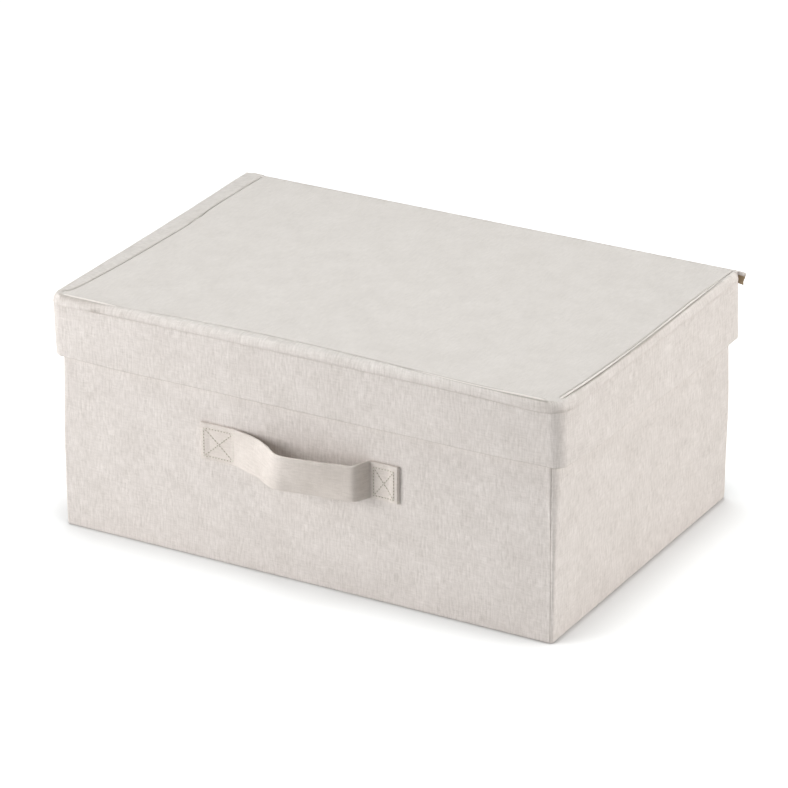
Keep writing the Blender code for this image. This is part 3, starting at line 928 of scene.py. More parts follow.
def lid_runs(track, fine=0.9 * MM, coarse=6 * MM):
    return track.steps(fine, coarse, 9 * MM)


def leaned(sizes, point, z):
    """Where a point of the lid's sides lies: they lean in on the left, stand out on the right and bow."""
    left = smooth(-point.x, LID_SIDE - 36 * MM, LID_SIDE - 4 * MM)
    right = smooth(point.x, LID_SIDE - 20 * MM, LID_SIDE - 5 * MM)
    skirt_top = LID_TOP - sizes.crease
    down = min(max((skirt_top - z) / (skirt_top - SKIRT_BOTTOM), 0), 1)
    knots = ((-0.154, 0.12), (-0.06, 0.25), (0, 0.4), (0.06, 0.62), (0.1, 0.78), (0.13, 0.97), (0.15, 1))
    inward = sizes.lean * down - sizes.bulge * eased(point.y, knots) * mix(1, 0.5, down)
    return point.x + left * inward + right * sizes.flare * down


def hem_lift(sizes, point, z):
    """The skirt's lower edge rises at the front corners and sags on the right, and its cloth follows."""
    corner = smooth(abs(point.x), LID_SIDE - 60 * MM, LID_SIDE - 5 * MM)
    front = 1 - smooth(point.y, LID_FRONT + 5 * MM, LID_FRONT + 60 * MM)
    low = 1 - smooth(z, SKIRT_BOTTOM + 2 * MM, SKIRT_BOTTOM + 30 * MM)
    wave = 0.35 * MM * swell(point.x, point.y, 0.06, 30.0)
    back = 0.65 * smooth(point.y, LID_FRONT, -0.1) + 0.35 * smooth(point.y, -0.1, 0.1)
    sag = smooth(point.x, LID_SIDE - 14 * MM, LID_SIDE - 4 * MM) * back
    on_skirt = z < LID_TOP - 0.02
    return low * (sizes.lift * corner * front + wave) - max(low, 0.15) * sizes.sag * sag * on_skirt


def lid_unevenness(sizes, run, z):
    return sizes.swell * (0.6 * swell(run, z, 0.08, 40.0) + 0.4 * swell(run, z, 0.03, 44.0))


def crease_round(sizes, track, run):
    """The crease under the rolled edge fades at the left and along the right side. A pucker deepens it."""
    front, right = track.starts[2:4]
    pucker = hump(run - front - PUCKER, 4.5 * MM)
    clear = mix(0.4, 1, smooth(run, front + 20 * MM, front + 60 * MM))
    clear = mix(clear, 0.3, smooth(run, right + 10 * MM, right + 30 * MM))
    return sizes.crease_round * (clear + 2.2 * pucker)


def crease_height(sizes, track, run):
    """The crease hangs lower at the front corners than in the middle of the front."""
    front, right = track.starts[2:4]
    knots = (
        (front - 60 * MM, 0),
        (front, 1.5 * MM),
        (front + 60 * MM, 0.1 * MM),
        (right - 80 * MM, 0),
        (right - 20 * MM, 1.3 * MM),
        (right, 0),
        (right + 24 * MM, 2.0 * MM),
        (right + 60 * MM, 0.8 * MM),
    )
    return LID_TOP - sizes.crease - eased(run, knots)


def build_skirt_cloth(box):
    sizes = box.lid
    track = lid_track(sizes)
    runs = lid_runs(track)
    fold = SKIRT / 2
    low, high = SKIRT_BOTTOM + fold, LID_TOP - sizes.crease - 1.2 * MM
    section = [(-SKIRT, z) for z in even(low, SKIRT_BOTTOM + sizes.hem, 2.5 * MM)[::-1]]
    section += arc((-fold, low), fold, -2, 0, 8)[1:]
    shares = [0.012, 0.03, *(index / 14 for index in range(1, 15))]
    section += [(0, mix(low, high, part)) for part in shares]
    straight = len(section)
    section += [(-0.12, 0.35), (-0.35, 0.85), (-0.9, 1.1), (-2.6, 1.15)]

    def place(run, spot, index):
        out, z = spot
        crease = crease_height(sizes, track, run)
        bend = crease_round(sizes, track, run)
        if index >= straight:
            out, z = out * bend, crease - 1.2 * bend + z * bend
        elif out == 0 and z > low:
            z = mix(low, crease - 1.2 * bend, (z - low) / (high - low))
        point, normal = track.at(run, out)
        away = lid_unevenness(sizes, run, z) * smooth(out, -1 * MM, -0.3 * MM) * smooth(z, low, low + 8 * MM)
        moved = point + normal * away
        return (leaned(sizes, moved, z), moved.y, z + hem_lift(sizes, moved, z))

    along = run_lengths(section[:straight])
    along += [along[-1] + step * MM for step in (0.4, 0.9, 1.5, 2.5)]
    points = [[place(run, spot, index) for run in runs] for index, spot in enumerate(section)]
    # Painted shade on the skirt's lower fold, standing for the hem's shadow, fading out within 1.3 mm of its
    # bottom
    fold_top = SKIRT_BOTTOM + 1.3 * MM
    shades = [sizes.hem_shade * (1 - smooth(z, SKIRT_BOTTOM, fold_top)) for _, z in section[:straight]]
    painted_shades = [[shade] * len(runs) for shade in shades]
    flat = [[(run, reach) for run in runs] for reach in along]
    obj = sheet_mesh("skirt_cloth", points, flat, painted_shades=painted_shades)
    give_cloth(obj, FOLD_CLOTH, material_for("linen_cloth"))
    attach(obj, "lid")
    sides = ("front", "left", "right")
    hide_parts(*(f"skirt_{side}_cover" for side in sides), *(f"skirt_{side}_hem" for side in sides))


def build_skirt_lining(box):
    sizes = box.lid
    rear = LID_REAR - 0.6 * MM
    corners = ((-LID_SIDE, rear), (-LID_SIDE, LID_FRONT), (LID_SIDE, LID_FRONT), (LID_SIDE, rear))
    track = Track(corners, [0, sizes.corner, sizes.corner, 0], False)
    runs = graded(0, track.total, track.starts[1:], 1.2 * MM, 9 * MM, 8 * MM)
    top, low = LID_UNDERSIDE + 0.2 * MM, SKIRT_BOTTOM + sizes.hem + 0.4 * MM
    section = [(-SKIRT, z) for z in even(low, top, 5 * MM)[::-1]]

    def place(run, out, z):
        point, normal = track.at(run, out)
        loose = 0.3 * MM * (0.5 + 0.5 * swell(run, z, 0.05, 60.0)) * smooth(z, low, low + 8 * MM)
        beside = smooth(abs(point.x), BODY_SIDE, BODY_SIDE + 3 * MM)
        free = loose * (1 - smooth(z, top - 8 * MM, top)) * beside
        moved = point - normal * free
        return (leaned(sizes, moved, z), moved.y, z)

    lining = material_for("lining_felt")
    obj = around_sheet("skirt_lining", track, runs, section, place, LID_LINING_CLOTH, lining)
    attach(obj, "lid")
    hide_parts("skirt_front_lining", "skirt_left_lining", "skirt_right_lining")
    x, front, rear = LID_LINING_SIDE, LID_LINING_FRONT, LID_REAR
    xs, ys = even(-x, x, 9 * MM), even(front, rear, 9 * MM)

    def height(across, along):
        edge = min(x - abs(across), along - front, rear - along)
        ripple = swell(across, along, 0.03, 64.0) ** 2
        return LID_UNDERSIDE + 0.12 * MM * (1 - smooth(edge, 0, 9 * MM)) * ripple

    obj = grid_sheet("lid_lining_cloth", xs, ys, height, LID_LINING_CLOTH, lining, upward=False)
    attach(obj, "lid")
    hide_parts("lid_lining")


# How far in the lid's top seam lies: (share of that side from the front or the left, millimetres)
LEFT_INSETS = (
    (0, 8),
    (0.05, 12.3),
    (0.13, 14.4),
    (0.3, 16.1),
    (0.5, 16.8),
    (0.63, 16.2),
    (0.72, 13.4),
    (1, 12.2),
)
RIGHT_INSETS = (
    (0, 7.6),
    (0.05, 6.8),
    (0.12, 5.4),
    (0.25, 4.0),
    (0.45, 3.4),
    (0.6, 3.9),
    (0.8, 4.8),
    (1, 4.6),
)
FRONT_INSETS = (
    (0, 3.2),
    (0.08, 2.9),
    (0.15, 3.9),
    (0.25, 8.2),
    (0.4, 10.8),
    (0.5, 11.3),
    (0.63, 9.2),
    (0.76, 6.0),
    (0.85, 4.2),
    (1, 4.6),
)


def piping_show(track, run):
    """How far the piping shows: near the front corners and along the right side, fading at the rear."""
    left, front, right, rear = track.starts[1:5]
    knots = (
        (left, 0),
        (left + 104 * MM, 0.1),
        (left + 116 * MM, 0.6),
        (left + 130 * MM, 0.05),
        (front - 12 * MM, 0.1),
        (front - 3 * MM, 1),
        (front + 8 * MM, 1.25),
        (front + 44 * MM, 1.2),
        (front + 62 * MM, 0.05),
        (right - 135 * MM, 0.05),
        (right - 110 * MM, 0.4),
        (right - 60 * MM, 0.7),
        (right - 34 * MM, 1.15),
        (right - 16 * MM, 1.2),
        (right + 16 * MM, 1.1),
        (right + 60 * MM, 1),
        (right + 120 * MM, 0.75),
        (right + 170 * MM, 0.85),
        (rear - 60 * MM, 0.9),
        (rear - 30 * MM, 0.5),
        (rear, 0),
    )
    return min(max(eased(run, knots), 0), 1.25)


def seam_fade(track, run):
    """The seam lies flat where it turns the front corners."""
    front, right = track.starts[2:4]
    return smooth(abs(run - front), 2 * MM, 6 * MM) * smooth(abs(run - right), 6.5 * MM, 11 * MM)


def seam_shade(track, run):
    """How much shade is painted into the seam, which also sets how deep it dips: strongest along the right
    side, hardly at all in the front's middle.
    """
    left, front, right, rear = track.starts[1:5]
    knots = (
        (left, 0.4),
        (left + 160 * MM, 0.4),
        (front - 10 * MM, 0.6),
        (front + 40 * MM, 0.5),
        (front + 60 * MM, 0.2),
        (front + 160 * MM, 0.05),
        (right - 110 * MM, 0.3),
        (right - 50 * MM, 0.75),
        (right, 0.85),
        (right + 40 * MM, 1.1),
        (right + 120 * MM, 1.0),
        (rear - 50 * MM, 0.9),
        (rear - 20 * MM, 0.3),
        (rear, 0),
    )
    return eased(run, knots)


def seam_half(box, track, run):
    """Half the width of the seam, which opens where the piping shows and closes where it lies flat."""
    fade = seam_fade(track, run)
    shows = min(piping_show(track, run) * fade, 1)
    return fade * mix(box.seam.closed, box.seam.open, shows) + 0.04 * MM


def panel_point(box, track, across, along, side):
    """A point of the lid's panel from its shares across and along.

    The panel ends at the seam's inner line, its middle or its outer line, for a side of 1, 0 or -1.
    """
    from_left, from_front = 2 * LID_SIDE * across, (LID_REAR - LID_FRONT) * along
    front, right = track.starts[2:4]
    left_inset = eased(along, LEFT_INSETS) * MM + side * seam_half(box, track, front - from_front)
    right_inset = eased(along, RIGHT_INSETS) * MM + side * seam_half(box, track, right + from_front)
    front_inset = eased(across, FRONT_INSETS) * MM + side * seam_half(box, track, front + from_left)
    x = mix(left_inset - LID_SIDE, LID_SIDE - right_inset, across)
    return Vector((x, mix(LID_FRONT + front_inset, LID_REAR, along)))


def seam_place(box, track, run, side):
    """The point of the top seam that belongs to a run along the lid's outline."""
    left, front, right, rear = track.starts[1:5]
    if run < front:
        along = 1 - min(max((run - left) / (front - left), 0), 1)
        return panel_point(box, track, 0, along, side)
    if run < right:
        return panel_point(box, track, (run - front) / (right - front), 0, side)
    return panel_point(box, track, 1, min((run - right) / (rear - right), 1), side)


def top_height(box, x, y):
    """Soft unevenness of the lid's top, flat at the rear edge."""
    fade = smooth(LID_REAR - y, 5 * MM, 40 * MM)
    soft = 0.25 * swell(x, y, 0.11, 50.0) + 0.12 * swell(x, y, 0.035, 54.0)
    return LID_TOP + fade * soft * MM


def build_lid_top(box):
    sizes, seam = box.lid, box.seam
    width, depth = 2 * LID_SIDE, LID_REAR - LID_FRONT
    columns = [step / width for step in graded(0, width, (0, width), 0.35 * MM, 7 * MM, 1.6 * MM)]
    rows = [step / depth for step in graded(0, depth, (0,), 0.35 * MM, 7 * MM, 1.6 * MM)]
    track = lid_track(sizes)
    left, front, right, rear = track.starts[1:5]

    def place(across, along):
        point = panel_point(box, track, across, along, 1)
        point.y -= box.hinge.flat * smooth(along, 0.6, 1)
        edge, run = min(
            (across * width, mix(front, left, along)),
            (along * depth, mix(front, right, across)),
            ((1 - across) * width, mix(right, rear, along)),
        )
        fade = seam_fade(track, run)
        shade = seam_shade(track, run)
        dip = seam.depth * mix(0.3, 1, shade) * fade * rounded_drop(1 - min(edge / seam.shoulder, 1))
        puff = 0.2 * MM * fade * hump(edge - 2.6 * MM, 2.4 * MM)
        shows = min(piping_show(track, run), 1)
        wide = mix(1.5, 2.0, shows) * MM
        # Painted shade along the panel's edge where it dips into the seam, weaker where the piping shows
        painted_shades[-1].append(fade * shade * mix(1, 0.5, shows) * (1 - smooth(edge, 0.3 * MM, wide)))
        return (point.x, point.y, top_height(box, point.x, point.y) + puff - dip)

    points, painted_shades = [], []
    for along in rows:
        painted_shades.append([])
        points.append([place(across, along) for across in columns])
    flat = [[(x, y) for x, y, _ in row] for row in points]
    obj = sheet_mesh("lid_top_cloth", points, flat, painted_shades=painted_shades)
    give_cloth(obj, sizes.cloth, material_for("linen_top"))
    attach(obj, "lid")
    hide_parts("lid_cover")


def build_rolled_edge(box):
    """One strip of linen folded into the lid's edge: under, up the outside, over the top and into the seam."""
    sizes, seam = box.lid, box.seam
    track = lid_track(sizes)
    runs = lid_runs(track)
    arm = 5.6 * MM
    underside = LID_UNDERSIDE + 0.1 * MM
    fixed = [(-arm, underside), (-SKIRT - 0.3 * MM, underside), (-SKIRT, underside - 0.3 * MM)]
    round_steps, top_steps, dip_steps = 10, 9, 5
    # Painted shade in the crease under the rolled edge, by the point's place in the section
    under_shades = {7: 0.6, 8: 1, 9: 1, 10: 0.7, 11: 0.2}

    def column(run):
        crease = crease_height(sizes, track, run)
        bend = crease_round(sizes, track, run)
        point, normal = track.at(run, 0)
        clear = (point - seam_place(box, track, run, -1)).dot(normal)
        reach = min(sizes.edge, max(clear - 0.2 * MM, 1.2 * MM))
        section = [(*spot, 0) for spot in fixed]
        section += [(-SKIRT, mix(underside, crease, 0.6), 0), (-SKIRT, crease + 1.0 * MM, 0)]
        section += [(-SKIRT + 0.6 * MM, crease + 0.25 * MM, 0), (-1.4 * MM, crease + 0.15 * MM, 0)]
        section += [(-0.9 * bend, crease + 0.1 * MM, 0.3), (-0.3 * bend, crease + 0.3 * bend, 0.6)]
        foot = crease - 0.5 * MM
        low = math.asin((1.6 * MM) / (LID_TOP - foot))
        for step in range(round_steps + 1):
            angle = mix(low, QUARTER, step / round_steps)
            out = reach * (math.cos(angle) - 1) + sizes.proud
            section.append((out, foot + (LID_TOP - foot) * math.sin(angle), 1))
        return section

    def place(run):
        points = []
        for out, z, free in column(run):
            point, normal = track.at(run, out)
            moved = point + normal * lid_unevenness(sizes, run, z) * free
            puff = 0.25 * MM * free * swell(run, z, 0.04, 70.0)
            across = leaned(sizes, moved, z) if points else moved.x
            points.append(Vector((across, moved.y, z + puff)))
        last = points[-1]
        end = seam_place(box, track, run, -1)
        fade, shade = seam_fade(track, run), seam_shade(track, run)
        reach = (end - last.xy).length
        depth = seam.depth * mix(0.2, 0.9, shade) * fade
        for step in range(1, top_steps + 1):
            part = step / top_steps
            spot = last.xy.lerp(end, part * max(1 - seam.shoulder / max(reach, seam.shoulder * 1.5), 0.3))
            puffed = 0.3 * MM * math.sin(math.pi * part) * min(reach / (8 * MM), 1)
            rise = top_height(box, spot.x, spot.y) + puffed
            points.append(Vector((*spot, mix(last.z, rise, smooth(part, 0, 0.5)))))
        inner = points[-1]
        for step in range(1, dip_steps + 1):
            part = step / dip_steps
            points.append(Vector((*inner.xy.lerp(end, part), inner.z - depth * rounded_drop(part))))
        # Painted shade on the rolled edge's last stretch before the seam, darker where the piping shows
        dark = fade * shade * mix(0.6, 1.2, min(piping_show(track, run), 1))
        outward = track.at(run, 0)[1]
        front, right = track.starts[2:4]
        # Where that crease shade is painted: at the pucker and round the right corner, with a faint painted
        # shade over the edge just before the right front corner
        fold_shade = max(hump(run - front - PUCKER, 3.5 * MM), 0.5 * hump(run - right - 2 * MM, 14 * MM))
        corner_shade = 0.3 * hump(run - right + 9 * MM, 9 * MM)
        row = []
        for index, point in enumerate(points):
            far = (point.xy - end).dot(outward)
            value = dark * (1 - smooth(far, 0.9 * MM, 1.9 * MM)) if index > 10 else 0
            under = fold_shade * under_shades.get(index, 0)
            row.append(max(value, under, corner_shade if 9 <= index < 24 else 0))
        painted_shades.append(row)
        return points

    painted_shades = []
    columns = [place(run) for run in runs]
    points = [list(row) for row in zip(*columns)]
    flat = []
    reaches = [run_lengths(column) for column in columns]
    for row in range(len(points)):
        flat.append([(run, reach[row]) for run, reach in zip(runs, reaches)])
    obj = sheet_mesh("rolled_edge", points, flat, painted_shades=list(zip(*painted_shades)))
    give_cloth(obj, FOLD_CLOTH, material_for("linen_cloth"))
    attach(obj, "lid")
    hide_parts("rolled_edge_front", "rolled_edge_left", "rolled_edge_right")


def tube(name, path, sides, material):
    """A cord along a path of (point, radius) pairs, with closed round ends."""
    points = []
    spots = [Vector(point) for point, _ in path]
    runs = run_lengths(spots)
    for index, (point, radius) in enumerate(path):
        before, after = spots[max(index - 1, 0)], spots[min(index + 1, len(spots) - 1)]
        way = (after - before).normalized()
        across = way.cross(Vector((0, 0, 1))).normalized()
        lift = across.cross(way)
        taper = min(min(runs[index], runs[-1] - runs[index]) / radius, 1)
        size = radius * (0.15 + 0.85 * math.sqrt(1 - (1 - taper) ** 2))
        ring = []
        for step in range(sides):
            angle = 2 * math.pi * step / sides
            ring.append(spots[index] + across * size * math.cos(angle) + lift * size * math.sin(angle))
        points.append(ring)
    around = 2 * math.pi * path[0][1] / sides
    flat = [[(reach, around * step) for step in range(sides + 1)] for reach in runs]
    return give_cloth(sheet_mesh(name, points, flat, closed=True, caps=(0, -1)), 0, material)


def build_seam_piping(box):
    sizes = box.lid
    track = lid_track(sizes)
    left, rear = track.starts[1] + 3 * MM, track.starts[4] - 3 * MM
    runs = [run for run in lid_runs(track, 0.7 * MM, 3 * MM) if left < run < rear]
    spots, radii = [], []
    for run in runs:
        show = piping_show(track, run) * seam_fade(track, run)
        radius = mix(0.35 * MM, box.seam.piping, min(show, 1)) * (1 + 0.06 * swell(run, 0, 0.012, 5.0))
        top = LID_TOP + mix(-0.7, 0.5, min(show, 1)) * MM + 1.6 * MM * max(show - 1, 0)
        spots.append(Vector((*seam_place(box, track, run, 0), top - radius)))
        radii.append(radius)
    obj = tube("seam_piping", list(zip(softened(spots, 3), radii)), 12, material_for("piping_cotton"))
    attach(obj, "lid")


# Hinge cloth


def build_hinge_cloth(box):
    sizes = box.hinge
    linen = material_for("linen_cloth")
    hinge_z = FLAP_LOW.z
    low = hinge_z - sizes.hem_drop
    wall_face = BODY_REAR + 0.1 * MM + sizes.cloth
    flap_face = FLAP_HIGH.y - 0.3 * MM
    half = sizes.half_width
    lap_low, top = hinge_z + sizes.lap, hinge_z + sizes.lap + 1.0 * MM
    xs = even(-half, half, 6 * MM)
    heights = graded(low, top, (hinge_z,), 0.35 * MM, 1.6 * MM, 2 * MM)

    def lower_face(z, x):
        out = mix(wall_face, flap_face, smooth(z, hinge_z - 5 * MM, hinge_z - 1 * MM))
        return out + 0.12 * MM * swell(x, z, 0.03, 80.0) * smooth(z, low, low + 3 * MM)

    points = [[(x, lower_face(z, x), z) for x in xs[::-1]] for z in heights]
    flat = [[(-x, z) for x in xs[::-1]] for z in heights]
    lower = sheet_mesh("hinge_cloth_lower", points, flat)
    give_cloth(lower, sizes.cloth, linen)
    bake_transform(lower)
    left, right = FLAP_LOW.x, LID_SIDE - 0.6 * MM
    xs = graded(left, right, (left, right), 0.8 * MM, 6 * MM)
    rear_face, edge = FLAP_HIGH.y + 0.15 * MM, sizes.edge
    section = [(rear_face, mix(lap_low, LID_TOP - edge, part)) for part in (0, 0.2, 0.4, 0.6, 0.8)]
    section += arc((rear_face - edge, LID_TOP - edge), edge, 0, 1, 7)
    section += [(LID_REAR - sizes.flat, LID_TOP)]
    along = run_lengths(section)

    def upper_place(x, spot):
        y, z = spot
        raised = 2.4 * MM * smooth(abs(x), half - 2 * MM, LID_SIDE)
        z += raised * (1 - smooth(z, lap_low, LID_TOP - edge))
        return (x, y + 0.1 * MM * swell(x, z, 0.03, 84.0) * (1 - smooth(z, lap_low, LID_TOP - edge)), z)

    points = [[upper_place(x, spot) for x in xs[::-1]] for spot in section]
    flat = [[(x, LID_REAR - sizes.flat + along[-1] - reach) for x in xs[::-1]] for reach in along]
    upper = sheet_mesh("hinge_cloth_upper", points, flat)
    give_cloth(upper, sizes.cloth * 0.7, linen)
    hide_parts("hinge_flap")
    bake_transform(upper)
    build_ear(box)


def build_ear(box):
    """The hinge cloth's open end, past the lid's side: a fold with its brown inner side showing, that brown
    partly the back's own tone and partly painted shade inside the fold.
    """
    sizes = box.hinge
    start, end = LID_SIDE - 1.6 * MM, FLAP_HIGH.x
    fold = sizes.ear_round
    rear = FLAP_HIGH.y + 0.05 * MM
    top = LID_TOP - 0.2 * MM
    low = FLAP_LOW.z
    section = [(rear, z) for z in even(low, top - fold, 1 * MM)]
    section += arc((rear - fold, top - fold), fold, 0, 2, 8)[1:]
    section += [(rear - 2 * fold, top - fold - part * sizes.ear_lip / 3) for part in (1, 2, 3)]
    along = run_lengths(section)
    xs = even(start, end, 0.6 * MM)

    def place(x, spot):
        y, z = spot
        part = (x - start) / (end - start)
        slope = mix(0, -1.6 * MM, smooth(top - z, 0, top - low)) * part
        ragged = sizes.ear_wave * swell(z, y, 0.003, 90.0) * part**2 * 0.6
        sag = -0.5 * MM * part**2
        curl = 0.5 * MM * math.sin(QUARTER * part) * smooth(top - z, 4 * MM, 10 * MM)
        return (x + slope + ragged, y - curl, z + sag)

    points = [[place(x, spot) for x in xs[::-1]] for spot in section]
    flat = [[(x, reach) for x in xs[::-1]] for reach in along]
    obj = sheet_mesh("hinge_ear", points, flat)
    give_cloth(obj, FOLD_CLOTH, material_for("linen_cloth"), material_for("shaded_backing_cloth"))
    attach(obj, "flap")


# Strap and stitches


def strap_line():
    """The strap's inner face seen from above: rounded bends between the two sewn ends, as (x, standoff)."""
    bends = (
        (STRAP_LEFT + 31 * MM, 0, 26 * MM),
        (-33 * MM, 0.38 * STRAP_CREST, 34 * MM),
        (-11 * MM, 0.93 * STRAP_CREST, 17 * MM),
        (20 * MM, 0.74 * STRAP_CREST, 90 * MM),
        (52.0 * MM, 0.58 * STRAP_CREST, 3.6 * MM),
        (58.6 * MM, 0, 2.2 * MM),
    )
    spots = [Vector((STRAP_LEFT, 0)), *(Vector(bend[:2]) for bend in bends), Vector((STRAP_RIGHT, 0))]
    ways = [(after - before).normalized() for before, after in zip(spots, spots[1:])]
    line = [spots[0]]
    for (*_, radius), corner, before, after in zip(bends, spots[1:], ways, ways[1:]):
        turn = math.atan2(before.x * after.y - before.y * after.x, before.dot(after))
        back = radius * math.tan(abs(turn) / 2)
        start = corner - before * back
        side = Vector((-before.y, before.x)) * math.copysign(radius, turn)
        centre = start + side
        steps = max(round(abs(turn) * radius / (1.2 * MM)), 4)
        for step in range(steps + 1):
            line.append(centre + Matrix.Rotation(turn * step / steps, 2) @ (start - centre))
    line.append(spots[-1])
    return line


def resampled(line, step):
    """Points a step apart along a line, softened a little where it bends."""
    runs = run_lengths(line)
    count = round(runs[-1] / step)
    wanted = [runs[-1] * number / count for number in range(count + 1)]
    points = [line[index].lerp(line[index + 1], part) for index, part in walked(runs, wanted)]
    return softened(points, 4)


def strap_section(width, thickness, steps=6, rows=16):
    """The strap cut across: (out, up) round its two flat faces and its folded edges, inner face first."""
    round_edge = thickness / 2
    high = width / 2 - round_edge
    heights = even(-high, high, width / rows)
    section = [(0, z) for z in heights]
    section += [(round_edge - x, z) for x, z in arc((0, high), round_edge, 0, 2, steps)[1:-1]]
    section += [(thickness, z) for z in heights[::-1]]
    section += [(round_edge - x, z) for x, z in arc((0, -high), round_edge, 2, 4, steps)[1:-1]]
    return section


def build_strap(box):
    sizes = box.strap
    middle = STRAP_MIDDLE + sizes.lift
    width = STRAP_HIGH - STRAP_LOW
    line = resampled(strap_line(), 0.9 * MM)
    section = strap_section(width, sizes.thickness)
    lift, land = STRAP_LEFT + sizes.patch, STRAP_RIGHT - sizes.patch
    runs = run_lengths(line)
    rings, shades = [], []
    for index, spot in enumerate(line):
        before, after = line[max(index - 1, 0)], line[min(index + 1, len(line) - 1)]
        way = (after - before).normalized()
        out = Vector((-way.y, way.x))
        bowed = smooth(spot.y, 0, STRAP_CREST)
        free = smooth(spot.x, lift, lift + 20 * MM) * (1 - smooth(spot.x, land - 5 * MM, land))
        end = min(runs[index], runs[-1] - runs[index])
        swollen = sizes.end * (1 - smooth(end, 5 * MM, 9 * MM))
        tuck = math.sqrt(max(1 - (1 - min(end / (1.3 * MM), 1)) ** 2, 0))
        ring = []
        for reach, up in section:
            depth = reach / sizes.thickness
            thick = (reach + swollen * depth) * mix(0.25, 1, tuck)
            tall = up * (1 - 0.012 * free) * mix(0.97, 1, tuck)
            lower = smooth(-up, -width / 2, width / 2)
            along = mix(-0.5, 1, smooth(spot.x, -24 * MM, 0)) * smooth(spot.x, lift, lift + 16 * MM)
            along *= 1 - smooth(spot.x, 22 * MM, 48 * MM)
            tilt = sizes.twist * along * free * (0.5 - lower)
            lump = 0.22 * MM * swell(runs[index], up, 0.014, 100.0) * free
            cup = -0.35 * MM * free * (2 * up / width) ** 2
            where = spot + out * (thick + tilt + lump + cup)
            rise = 0.9 * MM * smooth(spot.x, 25 * MM, 48 * MM) * lower * free
            z = middle + tall - sizes.droop * bowed * free + rise
            ring.append(Vector((where.x + sizes.shift, STRAP_SEAT - where.y, z)))
        rings.append(ring)
        # Painted shade on the strap: its inner face behind the bow, the grip's right part and the turn back to
        # the wall
        turned = smooth(spot.x, 50 * MM, 54 * MM) * (1 - smooth(spot.x, 59 * MM, 62 * MM))
        outer = 0.3 * smooth(spot.x, -12 * MM, 20 * MM) * free * (1 - turned) + 0.32 * turned
        inner = 0.7 * bowed
        shades.append([inner if reach < sizes.thickness / 2 else outer for reach, _ in section])
    split = next(index for index, spot in enumerate(line) if spot.x > 12 * MM)
    around = run_lengths([*section, section[0]])
    for name, part, start, end, nodes in (
        (
            "strap_left",
            slice(split + 1),
            (lift + sizes.shift, STRAP_SEAT, middle),
            (lift + sizes.shift + 38 * MM, STRAP_SEAT, middle),
            ("handle_left_end", "handle_grip"),
        ),
        (
            "strap_right",
            slice(split, None),
            (land + sizes.shift + 4 * MM, STRAP_SEAT, middle),
            (land + sizes.shift - 2 * MM, STRAP_SEAT - 14 * MM, middle),
            ("handle_right_end",),
        ),
    ):
        flat = [[(place, reach) for place in around] for reach in runs[part]]
        obj = sheet_mesh(name, rings[part], flat, closed=True, caps=(0, -1), painted_shades=shades[part])
        give_cloth(obj, 0, material_for("strap_cloth"))
        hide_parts(*nodes)
        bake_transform(obj)
        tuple(start)
        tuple(end)


def model_stitch(sizes):
    """One stitch lying along X: a short thread, drawn down at both ends."""
    deselect()
    bpy.ops.mesh.primitive_cylinder_add(
        vertices=6, radius=sizes.thick / 2, depth=sizes.long * 0.55, rotation=(0, QUARTER, 0)
    )
    obj = bpy.context.object
    obj.name = "stitch_model"
    bpy.ops.object.transform_apply(location=False, rotation=True, scale=True)
    bpy.ops.object.mode_set(mode="EDIT")
    bpy.ops.mesh.select_mode(type="FACE")
    for way in (1, -1):
        cage = bmesh.from_edit_mesh(obj.data)
        for face in cage.faces:
            face.select_set(face.normal.x * way > 0.9)
        cage.select_flush_mode()
        bmesh.update_edit_mesh(obj.data)
        bpy.ops.mesh.extrude_region_move(
            TRANSFORM_OT_translate={"value": (way * sizes.long * 0.23, 0, -sizes.thick * 0.3)}
        )
        bpy.ops.transform.resize(value=(1, 0.45, 0.4))
    bpy.ops.object.mode_set(mode="OBJECT")
    obj.data.materials.append(material_for("cotton_thread"))
    # Dark discs at both ends of the stitch: painted shade of the needle holes
    holes = []
    for way in (1, -1):
        bpy.ops.mesh.primitive_cylinder_add(
            vertices=8,
            radius=sizes.hole,
            depth=0.12 * MM,
            location=(way * sizes.long * 0.56, 0, -sizes.thick * 0.12),
        )
        hole = bpy.context.object
        hole.data.materials.append(material_for("needle_hole_shade"))
        holes.append(hole)
    make_active(obj)
    for hole in holes:
        hole.select_set(True)
    bpy.ops.object.join()
    return obj


def stitch_row(line, pitch):
    """Places of stitches along a line of (point, outward) pairs: (middle, way, outward)."""
    spots = [Vector(point) for point, _ in line]
    runs = run_lengths(spots)
    count = max(round(runs[-1] / pitch), 1)
    places = []
    for index, part in walked(runs, [runs[-1] * (number + 0.5) / count for number in range(count)]):
        outward = Vector(line[index][1]).lerp(Vector(line[index + 1][1]), part).normalized()
        way = (spots[index + 1] - spots[index]).normalized()
        places.append((spots[index].lerp(spots[index + 1], part), way, outward))
    return places


def sew(name, model, places, body):
    """One piece of thread: copies of the modelled stitch at all the places of its rows."""
    cage = bmesh.new()
    for number, (middle, way, outward) in enumerate(places):
        side = outward.cross(way).normalized()
        up = way.cross(side)
        lean = Matrix.Rotation(0.06 * math.sin(number * 2.4), 4, "Z")
        turn = Matrix((way, side, up)).transposed().to_4x4()
        before = len(cage.verts)
        cage.from_mesh(model.data)
        cage.verts.ensure_lookup_table()
        bmesh.ops.transform(cage, matrix=Matrix.Translation(middle) @ turn @ lean, verts=cage.verts[before:])
    obj = add_mesh(name, cage)
    give_cloth(obj, 0, material_for("cotton_thread"))
    obj.data.materials.append(material_for("needle_hole_shade"))
    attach(obj, body)
    return obj


